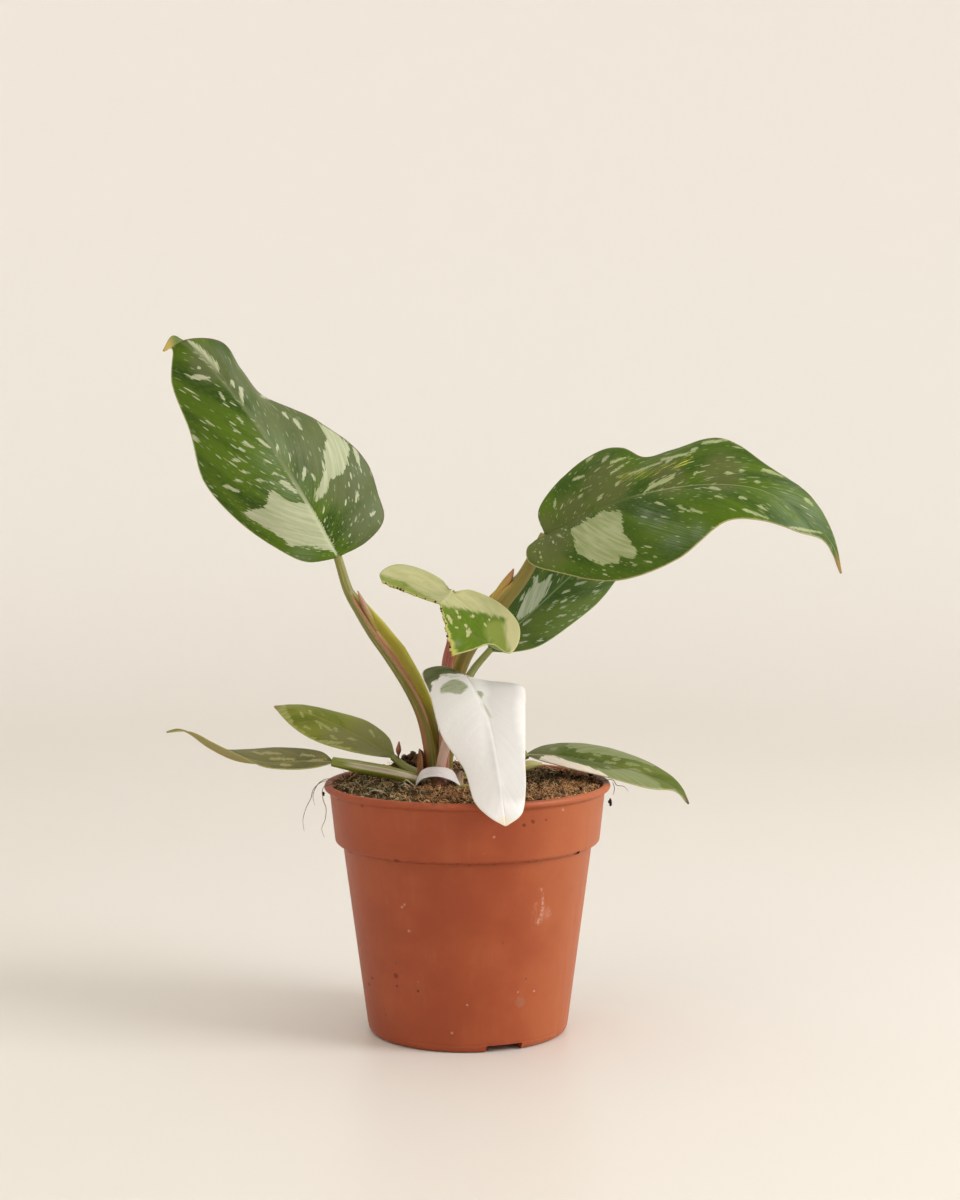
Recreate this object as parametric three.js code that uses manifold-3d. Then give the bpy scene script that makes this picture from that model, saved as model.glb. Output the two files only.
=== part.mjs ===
// A potted white princess philodendron: a 12 cm nursery pot filled with peat soil, and the plant's short
// stem, leaf stalks, leaf blades and bracts. Millimetres, +Z up. The origin is on the floor at the pot's
// axis, the plant's front faces -Y and its widest leaves reach out along -X and +X.
import * as THREE from 'three';
import { mergeVertices } from 'three/addons/utils/BufferGeometryUtils.js';
import Module from 'manifold-3d';

const wasm = await Module();
wasm.setup();

// Pot
const POT_HEIGHT = 105;
const LIP_RADIUS = 60;
const LIP_HEIGHT = 3.2;
const GROOVE_RADIUS = 58.4;
const BAND_TOP_RADIUS = 57.6;
const BAND_FOOT_RADIUS = 55.4;
const BAND_FOOT = 80.6;
const BODY_TOP_RADIUS = 52.2;
const BODY_FOOT_RADIUS = 42;
const FOOT_ROUND = 2.4;
const WALL = 1.6;
const FOOT_RING_RADIUS = 40;
const FOOT_RING_WIDTH = 2.6;
const GUTTER_HEIGHT = 3;
const PAD_RADIUS = 12;
const POT_SIDES = 40;
const NOTCH_COUNT = 3;
const NOTCH_WIDTH = 15.5;
const NOTCH_ANGLE = 21;
const DRAIN_COUNT = 8;
const DRAIN_RADIUS = 3;
const DRAIN_RING_RADIUS = 27;

// Soil
const SOIL_LEVEL = 103.6;
const SOIL_MOUND = 3.4;
const MOUND_SPREAD = 30;
const MOUND_X = -14;
const MOUND_Y = 20;
const SOIL_LUMPS = 0.7;
const SOIL_RINGS = 7;

// Plant
const BLADE_THICKNESS = 0.8;
const BLADE_BASE_WIDTH = 3;
const BLADE_TIP_WIDTH = 1;
const FULL_HALF_WIDTH = 20;
const BLADE_ROWS = 14;
const HALF_COLUMNS = 4;
const SMALL_ROWS = 8;
const SMALL_HALF_COLUMNS = 2;
const STALK_SIDES = 10;
const STALK_STEPS = 2;
const GAP = 0.3;

const finish = {
  terracotta: { color: 0xb25c3c, roughness: 0.55, metalness: 0 },
  peat: { color: 0x4a3422, roughness: 0.95, metalness: 0 },
  stem: { color: 0x7f7a2c, roughness: 0.5, metalness: 0 },
  oliveStalk: { color: 0x86862c, roughness: 0.45, metalness: 0 },
  amberStalk: { color: 0x8f6a28, roughness: 0.45, metalness: 0 },
  rosyStalk: { color: 0xb0706a, roughness: 0.5, metalness: 0 },
  whiteStalk: { color: 0xd8bfb4, roughness: 0.5, metalness: 0 },
  greenBlade: { color: 0x3f5f2a, roughness: 0.4, metalness: 0 },
  youngBlade: { color: 0x94a85c, roughness: 0.4, metalness: 0 },
  whiteBlade: { color: 0xe9e7e1, roughness: 0.45, metalness: 0 },
  brownBract: { color: 0x8a5530, roughness: 0.8, metalness: 0 },
};

const vector = (point) => new THREE.Vector3(point[0], point[1], point[2]);

// Turns a closed geometry into a solid whose faces point outwards.
function solidOf(geometry) {
  const plain = geometry.clone();
  plain.deleteAttribute('normal');
  plain.deleteAttribute('uv');
  const shell = mergeVertices(plain, 1e-4);
  const points = Float32Array.from(shell.attributes.position.array);
  const corners = Uint32Array.from(shell.index.array);
  const [a, b, c] = [new THREE.Vector3(), new THREE.Vector3(), new THREE.Vector3()];
  let volume = 0;
  for (let i = 0; i < corners.length; i += 3) {
    a.fromArray(points, corners[i] * 3);
    b.fromArray(points, corners[i + 1] * 3);
    c.fromArray(points, corners[i + 2] * 3);
    volume += a.dot(b.cross(c));
  }
  if (volume < 0) {
    corners.reverse();
  }
  return new wasm.Manifold(new wasm.Mesh({ numProp: 3, vertProperties: points, triVerts: corners }));
}

// What is left of a solid once its neighbours have taken their room, without loose scraps.
function clearOf(solid, neighbours) {
  const rest = neighbours.reduce((left, neighbour) => left.subtract(neighbour), solid);
  return rest.decompose().reduce((most, piece) => (piece.volume() > most.volume() ? piece : most));
}

// A closed body through rings of equally many points. A ring runs out along one face and back along the
// other, so the two faces and both ends are split into triangles alike.
function loft(rings) {
  const count = rings[0].length;
  const half = count / 2;
  const index = [];
  for (let i = 0; i < rings.length - 1; i++) {
    for (let j = 0; j < count; j++) {
      const next = (j + 1) % count;
      const a = i * count + j;
      const b = i * count + next;
      const c = b + count;
      const d = a + count;
      index.push(...(j < half ? [a, b, c, a, c, d] : [a, b, d, b, c, d]));
    }
  }
  for (const start of [0, (rings.length - 1) * count]) {
    for (let j = 0; j < half - 1; j++) {
      const quad = [start + j, start + j + 1, start + count - 2 - j, start + count - 1 - j];
      const [a, b, c, d] = start === 0 ? quad.reverse() : quad;
      index.push(a, b, c, a, c, d);
    }
  }
  const geometry = new THREE.BufferGeometry().setFromPoints(rings.flat());
  geometry.setIndex(index);
  return geometry;
}

// One edge of a blade: from beside the foot of the midrib, through the edge's own points, to beside the tip.
// A torn blade's edge stops at its last point, because its tip is missing.
function bladeEdge(mid, edge, torn) {
  const rib = mid.map(vector);
  const points = edge.map(vector);
  const beside = (origin, along, towards, distance) => {
    const across = towards.clone().sub(origin).projectOnPlane(along.normalize()).normalize();
    return origin.clone().addScaledVector(across, distance);
  };
  const foot = beside(rib[0], rib[1].clone().sub(rib[0]), points[0], BLADE_BASE_WIDTH / 2);
  const last = rib.length - 1;
  const ending = rib[last].clone().sub(rib[last - 1]);
  const tip = beside(rib[last], ending, points[points.length - 1], BLADE_TIP_WIDTH / 2);
  return new THREE.CatmullRomCurve3([foot, ...points, ...(torn ? [] : [tip])]);
}

// A leaf blade: a sheet spanned between its midrib and its two edges, each half arched up by arch at its
// middle, with the side veins swept forward, and given its thickness. Grown, it also takes in a gap
// of that width all round, which is the room that it needs. A small blade has fewer rows and columns.
function blade({ mid, left, right, arch, sweep = 1.4, torn = false, small = false }, grown = 0) {
  const rowCount = small ? SMALL_ROWS : BLADE_ROWS;
  const halfColumns = small ? SMALL_HALF_COLUMNS : HALF_COLUMNS;
  const midrib = new THREE.CatmullRomCurve3(mid.map(vector));
  const halves = [
    { side: -1, edge: bladeEdge(mid, left, torn), rise: arch[0] },
    { side: 1, edge: bladeEdge(mid, right, torn), rise: arch[1] },
  ];
  const sheet = [];
  for (let i = 0; i <= rowCount; i++) {
    const t = i / rowCount;
    const along = t ** sweep;
    const forward = midrib.getTangentAt(along);
    const shift = i === 0 ? -grown : i === rowCount ? grown : 0;
    const centre = midrib.getPointAt(along).addScaledVector(forward, shift);
    const [leftHalf, rightHalf] = halves.map(({ side, edge, rise }) => {
      const out = edge.getPointAt(t).addScaledVector(forward, shift).sub(centre);
      const width = out.length();
      const up = out.clone().cross(forward).multiplyScalar(side).normalize();
      const height = rise * Math.min(1, width / FULL_HALF_WIDTH) * Math.sin(Math.PI * t);
      out.multiplyScalar((width + grown) / width);
      return Array.from({ length: halfColumns }, (_, k) => {
        const f = (k + 1) / halfColumns;
        return centre.clone().addScaledVector(out, f).addScaledVector(up, 4 * height * f * (1 - f));
      });
    });
    sheet.push([...leftHalf.reverse(), centre, ...rightHalf]);
  }
  const columns = 2 * halfColumns;
  const offset = BLADE_THICKNESS / 2 + grown;
  const rings = sheet.map((row, i) => {
    const before = sheet[Math.max(i - 1, 0)];
    const after = sheet[Math.min(i + 1, rowCount)];
    const normals = row.map((point, j) => {
      const across = row[Math.min(j + 1, columns)].clone().sub(row[Math.max(j - 1, 0)]);
      return across.cross(after[j].clone().sub(before[j])).normalize();
    });
    const upper = row.map((point, j) => point.clone().addScaledVector(normals[j], offset));
    const lower = row.map((point, j) => point.clone().addScaledVector(normals[j], -offset));
    return [...upper, ...lower.reverse()];
  });
  return solidOf(loft(rings));
}

// A leaf stalk or the stem: a tube through points [x, y, z, radius, wing]. The wing is how far the two
// edges of its sheath stand out beyond the radius, towards the facing direction.
function stalk({ path, facing = [1, -0.4, 0] }, grown = 0) {
  const curve = new THREE.CatmullRomCurve3(path.map(vector));
  const steps = (path.length - 1) * STALK_STEPS;
  const rings = [];
  for (let i = 0; i <= steps; i++) {
    const t = i / steps;
    const stage = Math.min(Math.floor(i / STALK_STEPS), path.length - 2);
    const blend = i / STALK_STEPS - stage;
    const radius = THREE.MathUtils.lerp(path[stage][3], path[stage + 1][3], blend) + grown;
    const wing = THREE.MathUtils.lerp(path[stage][4] ?? 0, path[stage + 1][4] ?? 0, blend);
    const forward = curve.getTangent(t);
    const side = vector(facing).projectOnPlane(forward).normalize();
    const front = forward.clone().cross(side);
    const centre = curve.getPoint(t);
    rings.push(Array.from({ length: STALK_SIDES }, (_, j) => {
      const angle = ((j + 0.5) / STALK_SIDES) * 2 * Math.PI;
      const fromSide = Math.min(angle, 2 * Math.PI - angle);
      const reach = radius + wing * Math.exp(-(((fromSide - 0.3) / 0.4) ** 2));
      const point = centre.clone().addScaledVector(side, reach * Math.cos(angle));
      return point.addScaledVector(front, reach * Math.sin(angle));
    }));
  }
  return solidOf(loft(rings));
}

// The pot's wall follows its outer profile, one wall thickness inside it, and its floor is raised over
// a gutter between the foot ring and the middle pad, which both stand on the floor.
function pot() {
  const floor = GUTTER_HEIGHT + WALL;
  const bandTop = POT_HEIGHT - LIP_HEIGHT;
  const profile = [
    [0, 0],
    [PAD_RADIUS, 0],
    [PAD_RADIUS + 1, GUTTER_HEIGHT],
    [FOOT_RING_RADIUS - FOOT_RING_WIDTH - 0.6, GUTTER_HEIGHT],
    [FOOT_RING_RADIUS - FOOT_RING_WIDTH, 0],
    [FOOT_RING_RADIUS, 0],
    [BODY_FOOT_RADIUS - 0.7, FOOT_ROUND / 3],
    [BODY_FOOT_RADIUS, FOOT_ROUND],
    [BODY_TOP_RADIUS, BAND_FOOT - 1.4],
    [BAND_FOOT_RADIUS - 1, BAND_FOOT - 0.7],
    [BAND_FOOT_RADIUS, BAND_FOOT + 0.3],
    [BAND_TOP_RADIUS, bandTop - 0.6],
    [GROOVE_RADIUS, bandTop],
    [LIP_RADIUS - 0.4, bandTop + 0.6],
    [LIP_RADIUS, POT_HEIGHT - LIP_HEIGHT / 2],
    [LIP_RADIUS - 0.5, POT_HEIGHT - 0.4],
    [LIP_RADIUS - 1.5, POT_HEIGHT],
    [BAND_TOP_RADIUS - 0.6, POT_HEIGHT - 0.4],
    [BAND_TOP_RADIUS - WALL, bandTop],
    [BAND_FOOT_RADIUS - WALL, BAND_FOOT + 0.6],
    [BODY_TOP_RADIUS - WALL, BAND_FOOT - 1.4],
    [BODY_FOOT_RADIUS - WALL + 0.3, floor],
    [PAD_RADIUS, floor],
    [PAD_RADIUS - 1, WALL],
    [0, WALL],
  ];
  const shell = solidOf(new THREE.LatheGeometry(profile.map(([r, z]) => new THREE.Vector2(r, z)), POT_SIDES)
    .rotateX(Math.PI / 2));
  const cutters = [];
  for (let i = 0; i < NOTCH_COUNT; i++) {
    const outline = new THREE.Shape([
      new THREE.Vector2(-NOTCH_WIDTH / 2, -1),
      new THREE.Vector2(NOTCH_WIDTH / 2, -1),
      new THREE.Vector2(NOTCH_WIDTH / 2 - 1.2, GUTTER_HEIGHT),
      new THREE.Vector2(-NOTCH_WIDTH / 2 + 1.2, GUTTER_HEIGHT),
    ]);
    const notch = new THREE.ExtrudeGeometry(outline, { depth: 8, bevelEnabled: false });
    notch.rotateX(Math.PI / 2).translate(0, -FOOT_RING_RADIUS + FOOT_RING_WIDTH + 2, 0);
    notch.rotateZ(THREE.MathUtils.degToRad(NOTCH_ANGLE) + (i / NOTCH_COUNT) * 2 * Math.PI);
    cutters.push(solidOf(notch));
  }
  for (let i = 0; i < DRAIN_COUNT; i++) {
    const hole = new THREE.CylinderGeometry(DRAIN_RADIUS, DRAIN_RADIUS, 4 * WALL, 10).rotateX(Math.PI / 2);
    hole.translate(DRAIN_RING_RADIUS, 0, GUTTER_HEIGHT);
    hole.rotateZ(((i + 0.5) / DRAIN_COUNT) * 2 * Math.PI);
    cutters.push(solidOf(hole));
  }
  return clearOf(shell, cutters);
}

// The height of the soil's lumpy top, which rises a little around and behind the stem.
function soilTop(x, y) {
  const mound = SOIL_MOUND * Math.exp(-((x - MOUND_X) ** 2 + (y - MOUND_Y) ** 2) / MOUND_SPREAD ** 2);
  const lumps = Math.sin(0.31 * x + 1.7) * Math.cos(0.27 * y) + 0.7 * Math.sin(0.83 * x - 0.52 * y);
  return SOIL_LEVEL + mound + SOIL_LUMPS * lumps;
}

// The soil fills the pot up to its lip, a gap inside its wall.
function soil() {
  const inset = WALL + GAP;
  const edge = BAND_TOP_RADIUS - inset;
  const floor = GUTTER_HEIGHT + WALL + GAP;
  const profile = [
    [0, floor],
    [BODY_FOOT_RADIUS - inset, floor],
    [BODY_TOP_RADIUS - inset, BAND_FOOT - 1.4],
    [BAND_FOOT_RADIUS - inset, BAND_FOOT + 0.9],
    [edge, POT_HEIGHT - LIP_HEIGHT],
  ];
  for (let i = 0; i <= SOIL_RINGS; i++) {
    profile.push([edge * (1 - i / SOIL_RINGS), SOIL_LEVEL]);
  }
  const outline = profile.map(([r, z]) => new THREE.Vector2(r, z));
  const body = new THREE.LatheGeometry(outline, POT_SIDES).rotateX(Math.PI / 2);
  const places = body.attributes.position;
  for (let i = 0; i < places.count; i++) {
    if (Math.abs(places.getZ(i) - SOIL_LEVEL) < 0.01) {
      places.setZ(i, soilTop(places.getX(i), places.getY(i)));
    }
  }
  return solidOf(body);
}

// The short stem stands in the soil, and its top tapers away between the leaf stalks.
const stem = {
  path: [
    [-12.5, 0, 92, 3.6],
    [-12.5, 0, 100, 4.6],
    [-12.5, 0, 106, 4.8],
    [-13, 0.5, 112, 3.6],
    [-13, 1, 117, 1.8],
  ],
};

// The leaves, in the order in which their stalks wrap the stem, from the inside out. Each has the points
// of its stalk, from the stem outwards, and of its blade's midrib and edges, left and right of the midrib
// as seen on the upper face with the tip ahead.
const leaves = {
  // Large green leaf that stands up at the left, its drip tip curled over
  upper_left: {
    finishes: ['greenBlade', 'oliveStalk'],
    stalk: {
      path: [
        [-14, -1, 103, 3.2],
        [-15, -1, 120, 3.6],
        [-18, 1, 133, 3.6, 1],
        [-23.5, 3, 144, 3.2, 3],
        [-32, 5, 157, 2.9, 5],
        [-39.5, 5, 167.5, 2.7, 4.5],
        [-45, 5, 176.5, 2.4, 2],
        [-49.5, 5, 184.5, 2.1],
        [-54, 5, 199, 1.8],
      ],
    },
    blade: {
      mid: [[-54, 5, 199], [-66, 1, 221], [-86, -5, 254], [-107, -11, 281], [-115, -14, 288],
        [-119, -16, 290], [-123, -17, 284]],
      left: [[-67, 2, 197], [-81, 1, 204], [-96, 1, 215], [-109, -1, 231], [-114, -4, 251],
        [-121, -8, 272], [-120, -13, 285]],
      right: [[-42, 11, 205], [-35, 14, 214], [-37, 16, 224], [-44, 15, 241], [-63, 14, 256],
        [-86, 10, 267], [-94, 1, 278], [-100, -8, 288], [-113, -14, 289]],
      arch: [3, 3],
      sweep: 1.8,
    },
  },
  // Large green leaf that arches out to the right, with waved edges and a long drooping tip
  upper_right: {
    finishes: ['greenBlade', 'amberStalk'],
    stalk: {
      facing: [-1, -0.3, 0.6],
      path: [
        [-10, 2, 103, 2.8],
        [-8.5, 3, 124, 3.2],
        [-6, 3, 143, 3.4, 1],
        [-1, 3, 158, 3.6, 2],
        [7.5, 3, 170.5, 3.4, 4],
        [16.5, 3, 181.5, 3.1, 3],
        [23.5, 3, 190.5, 2.8],
        [33, 2, 208, 2.4],
      ],
    },
    blade: {
      mid: [[33, 2, 208], [52, -3, 218], [72, -8, 225], [98, -12, 229], [120, -16, 227],
        [136, -18, 218], [149, -19, 205], [153, -19, 193]],
      left: [[30, 8, 217], [39, 16, 230], [57, 22, 243], [66, 18, 244], [75, 12, 240],
        [86, 10, 243], [106, 8, 248], [126, -2, 236], [142, -10, 224], [150, -17, 209]],
      right: [[25, -6, 203], [26, -12, 197], [40, -20, 193], [61, -30, 191], [85, -34, 200],
        [105, -32, 215], [119, -30, 215], [135, -26, 210], [146, -21, 206]],
      arch: [2, 3],
      sweep: 1.8,
    },
  },
  // Young pale leaf in the middle: two curved lobes with the far half of the blade eaten away
  middle_young: {
    finishes: ['youngBlade', 'rosyStalk'],
    stalk: {
      facing: [0, 1, 0],
      path: [
        [-10, -3, 104, 2],
        [-9.5, -4, 123, 2.4],
        [-9, -5, 140, 2.4, 0.6],
        [-8, -7, 156, 2.4, 0.6],
        [-6, -11, 165.5, 2.2],
        [-5.5, -15.5, 176, 1.9],
        [-6, -18, 186, 1.4],
      ],
    },
    blade: {
      mid: [[-6, -18, 186], [-8, -26, 184], [-11, -37, 182]],
      left: [[-10, -12, 190], [-19, -14, 195], [-29, -18, 197], [-35, -25, 194], [-34, -32, 190]],
      right: [[1, -10, 186], [13, -12, 181], [21, -20, 173], [21, -28, 166], [17, -34, 162],
        [10, -38, 166], [1, -44, 164], [-7, -48, 162]],
      arch: [3, 4],
      sweep: 1,
      torn: true,
    },
  },
  // White leaf whose blade hangs down over the front of the pot
  front_white: {
    finishes: ['whiteBlade', 'whiteStalk'],
    stalk: {
      facing: [0, 1, 0],
      path: [
        [-12, -6, 102, 1.8],
        [-11, -8, 112.5, 2],
        [-9, -9, 121, 2],
        [-5.5, -12, 132.5, 2],
        [-2, -16, 142.5, 1.8],
        [0, -20, 151, 1.5],
      ],
    },
    blade: {
      mid: [[0, -20, 151], [3, -28, 147], [8, -40, 137], [11, -53, 125], [13, -64, 113], [15, -70, 98]],
      left: [[-9, -16, 155], [-18, -16, 153], [-15, -24, 144], [-10, -40, 129], [-1, -52, 117],
        [3, -63, 106], [9, -69, 101]],
      right: [[9, -18, 151], [21, -22, 149], [23, -31, 141], [23, -50, 121], [23, -60, 111],
        [21, -68, 102]],
      arch: [2.5, 3],
      sweep: 1.5,
    },
  },
  // Green leaf behind, half hidden by the upper right leaf
  behind_right: {
    finishes: ['greenBlade', 'oliveStalk'],
    stalk: {
      facing: [-1, 0, 0],
      path: [
        [-10, 6, 102.5, 2.2],
        [-7.5, 7, 117, 2.2],
        [-5, 10, 129.5, 2.2],
        [-1.5, 14, 142, 2, 0.6],
        [2.5, 19, 149.5, 1.6],
        [10, 24, 158, 1.4],
      ],
    },
    blade: {
      mid: [[10, 24, 158], [23, 29, 169], [32, 32, 177], [43, 35, 187], [62, 38, 203], [79, 38, 216]],
      left: [[11, 27, 167], [17, 30, 178], [27, 36, 190], [43, 42, 202], [61, 42, 210]],
      right: [[19, 22, 157], [30, 24, 159], [45, 32, 168], [58, 40, 178], [69, 44, 192], [75, 42, 206]],
      arch: [1.5, 2.5],
      sweep: 1.6,
    },
  },
  // Small old leaf low at the left, behind
  low_left_back: {
    finishes: ['greenBlade', 'oliveStalk'],
    stalk: {
      facing: [0, 0, 1],
      path: [
        [-13, 1, 103.5, 2],
        [-20, 5, 107, 2],
        [-26, 9, 109.5, 1.8],
        [-31.5, 12, 113.5, 1.5],
      ],
    },
    blade: {
      mid: [[-31.5, 12, 113.5], [-45.5, 18, 121], [-61, 26, 127.5], [-73, 31, 131.5], [-83.5, 35, 132.5]],
      left: [[-38.5, 6, 115], [-49.5, 8, 116.5], [-65, 16, 120], [-76, 26, 125.5]],
      right: [[-33.5, 20, 120.5], [-42.5, 28, 126.5], [-58.5, 34, 130.5], [-72.5, 37, 133]],
      arch: [1.6, 1.6],
    },
  },
  // Narrow old leaf low at the left, in front, its near half folded up towards the tip
  low_left_front: {
    finishes: ['greenBlade', 'oliveStalk'],
    stalk: {
      facing: [0, 0.3, 1],
      path: [
        [-13, -1, 103, 2.4],
        [-23, -6, 107, 2.4],
        [-34, -9, 110, 2.4, 0.8],
        [-46, -10, 112.5, 2.2, 0.8],
        [-56, -8, 114.5, 2],
      ],
    },
    blade: {
      mid: [[-56, -8, 114.5], [-67.5, -10, 115], [-81.5, -12, 114.5], [-95.5, -12, 116],
        [-107, -12, 121.5], [-115, -13, 127.5], [-119.5, -13, 129], [-124, -14, 128]],
      left: [[-63.5, -16, 113], [-74, -20, 113], [-83.5, -22, 114.5], [-95, -20, 119.5],
        [-105, -17, 124], [-114.5, -14, 128]],
      right: [[-61, 0, 117.5], [-78.5, 6, 118.5], [-94, 4, 118], [-102, -4, 119.5],
        [-109, -10, 123.5], [-115.5, -13, 128]],
      arch: [0.8, 0.8],
      sweep: 1.3,
    },
  },
  // Small old leaf that lies out over the lip at the right
  low_right: {
    finishes: ['greenBlade', 'oliveStalk'],
    stalk: {
      facing: [0, 0, 1],
      path: [
        [-10, 2, 102.5, 2.4],
        [1, 6, 106, 2.4],
        [14, 10, 110, 2.2],
        [25.5, 12, 114.5, 1.8],
      ],
    },
    blade: {
      mid: [[25.5, 12, 114.5], [39.5, 10, 114], [56, 8, 111], [73, 7, 107], [86.5, 6, 101.5],
        [93.5, 6, 94]],
      left: [[34, 22, 117], [50.5, 26, 117], [72, 22, 112], [85, 14, 106], [91, 9, 100.5]],
      right: [[32, 4, 112.5], [45, -4, 110], [60, -8, 107], [76, -6, 102.5], [87.5, 0, 100]],
      arch: [1.6, 1.6],
    },
  },
};

// The two bracts left at the stem's foot: a white one bent into an arch in front, and a dry brown collar.
const bracts = {
  bract_white: {
    finish: 'whiteBlade',
    mid: [[-21.5, -9, 105], [-18, -13, 109.5], [-12.5, -15, 111.5], [-7, -14, 109.5], [-2.5, -11, 104.5]],
    left: [[-18.5, -9, 111], [-12.5, -11, 112.5], [-6.5, -10, 111]],
    right: [[-18, -16, 108.5], [-12.5, -18, 109.5], [-7, -17, 108]],
    arch: [0.8, 0.8],
    sweep: 1,
    small: true,
  },
  bract_brown: {
    finish: 'brownBract',
    mid: [[-19.5, -3, 104], [-21, -3, 112], [-20, -2, 119]],
    left: [[-18.5, 3, 110], [-18.5, 3, 116.5]],
    right: [[-18.5, -8, 110], [-18.5, -8, 116.5]],
    arch: [0.8, 0.8],
    sweep: 1,
    small: true,
  },
};

const plant = new THREE.Group();

// Adds a solid to the plant as one named mesh.
function place(name, solid, look) {
  const { vertProperties, triVerts } = solid.getMesh();
  const geometry = new THREE.BufferGeometry();
  geometry.setAttribute('position', new THREE.BufferAttribute(vertProperties, 3));
  geometry.setIndex(new THREE.BufferAttribute(triVerts, 1));
  geometry.computeVertexNormals();
  const mesh = new THREE.Mesh(geometry, new THREE.MeshStandardMaterial(finish[look]));
  mesh.name = name;
  plant.add(mesh);
}

place('pot', pot(), 'terracotta');
place('stem', stalk(stem), 'stem');

// Each stalk gives way to the stem, to the stalks inside it and to its own blade. The soil has a plain hole
// for everything that stands in it.
const taken = [stalk(stem, GAP)];
for (const [name, leaf] of Object.entries(leaves)) {
  const bladeRoom = blade(leaf.blade, GAP);
  place(`leaf_${name}_stalk`, clearOf(stalk(leaf.stalk), [...taken, bladeRoom]), leaf.finishes[1]);
  place(`leaf_${name}_blade`, blade(leaf.blade), leaf.finishes[0]);
  taken.push(stalk(leaf.stalk, GAP));
}
for (const [name, bract] of Object.entries(bracts)) {
  place(name, clearOf(blade(bract), taken), bract.finish);
  taken.push(blade(bract, GAP));
}
place('soil', clearOf(soil(), taken), 'peat');

export default plant;
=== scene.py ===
# A potted white princess philodendron: a nursery pot of peat, and the plant's stem, leaves and bracts.
# Lengths are in millimetres and become metres where a mesh is made. The plant's front faces -Y.
import math

import bmesh
import bpy
import numpy as np
from mathutils import Matrix, Vector, noise


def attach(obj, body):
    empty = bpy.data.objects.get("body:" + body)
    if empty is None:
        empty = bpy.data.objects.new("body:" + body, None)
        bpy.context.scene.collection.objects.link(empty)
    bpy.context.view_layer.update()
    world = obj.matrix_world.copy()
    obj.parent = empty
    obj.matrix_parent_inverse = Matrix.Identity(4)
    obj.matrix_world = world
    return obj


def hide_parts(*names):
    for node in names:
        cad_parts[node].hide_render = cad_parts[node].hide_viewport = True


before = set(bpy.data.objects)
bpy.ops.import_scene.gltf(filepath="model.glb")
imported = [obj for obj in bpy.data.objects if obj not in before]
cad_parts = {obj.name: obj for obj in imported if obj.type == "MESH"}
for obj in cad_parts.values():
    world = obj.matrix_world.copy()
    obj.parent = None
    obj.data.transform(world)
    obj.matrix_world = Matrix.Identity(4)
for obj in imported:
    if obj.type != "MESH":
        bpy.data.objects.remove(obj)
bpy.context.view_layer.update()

scene = bpy.context.scene


# Camera
# A 70 mm lens stands about 0.97 m in front of the pot's axis, level with the large leaves, and looks
# slightly down, as in the photograph. The markings of the blades are placed as this camera sees them.
CAMERA_PLACE = (0, -970, 254)
CAMERA_TURN_DEG = (85.7, 0.126, -0.334)
FOCAL_LENGTH = 70
SENSOR_WIDTH = 36
MM = 0.001

camera = bpy.data.objects.new("camera", bpy.data.cameras.new("camera"))
camera.data.lens = FOCAL_LENGTH
camera.data.sensor_width = SENSOR_WIDTH
camera.location = Vector(CAMERA_PLACE) * MM
camera.rotation_euler = [math.radians(turn) for turn in CAMERA_TURN_DEG]
scene.collection.objects.link(camera)
scene.camera = camera
scene.view_settings.view_transform = "Standard"


def as_seen(points):
    """Where the camera sees points, in millimetres across and up in the plane of the pot's axis."""
    nearness = -CAMERA_PLACE[1] / (points[:, 1] - CAMERA_PLACE[1])
    across = points[:, 0] * nearness
    up = CAMERA_PLACE[2] + (points[:, 2] - CAMERA_PLACE[2]) * nearness
    return np.stack([across, up], axis=1)


# Studio
# The pot stands on a sweep of pale cream paper: a flat floor that bends up all round into a wall.
# A wide soft light stands low at the right, and a weaker one fills in from the front left.
FLOOR_REACH = 1000
SWEEP_BEND = 900
SWEEP_HEIGHT = 2600
SWEEP_SIDES = 96
PAPER = (0.79, 0.755, 0.7, 1)
PAPER_WARM = (0.78, 0.735, 0.67, 1)
PAPER_PAINTED_BRIGHT = (0.87, 0.84, 0.795, 1)
ROOM_LIGHT = (1, 0.972, 0.935, 1)
ROOM_STRENGTH = 0.88
LAMP_WHITE = (0.97, 0.985, 1)


class Value:
    """A number or colour that varies over a surface. Arithmetic on it adds Math nodes."""

    def __init__(self, maker, socket):
        self.maker = maker
        self.socket = socket

    def math(self, operation, *values):
        return self.maker.node("ShaderNodeMath", {"operation": operation}, dict(enumerate(values)))

    def __add__(self, other):
        return self.math("ADD", self, other)

    def __sub__(self, other):
        return self.math("SUBTRACT", self, other)

    def __rsub__(self, other):
        return self.math("SUBTRACT", other, self)

    def __mul__(self, other):
        return self.math("MULTIPLY", self, other)

    def __abs__(self):
        return self.math("ABSOLUTE", self)

    def most(self, other):
        return self.math("MAXIMUM", self, other)

    __radd__ = __add__
    __rmul__ = __mul__


class NodeMaker:
    """Adds nodes to one tree."""

    def __init__(self, tree):
        self.tree = tree

    def node(self, kind, settings=None, inputs=None, output=0):
        """One node: its settings first, then the values or links of its sockets."""
        made = self.tree.nodes.new(kind)
        for name, setting in (settings or {}).items():
            setattr(made, name, setting)
        for name, value in (inputs or {}).items():
            if isinstance(value, Value):
                self.tree.links.new(value.socket, made.inputs[name])
            else:
                made.inputs[name].default_value = value
        return Value(self, made.outputs[output])


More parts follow.
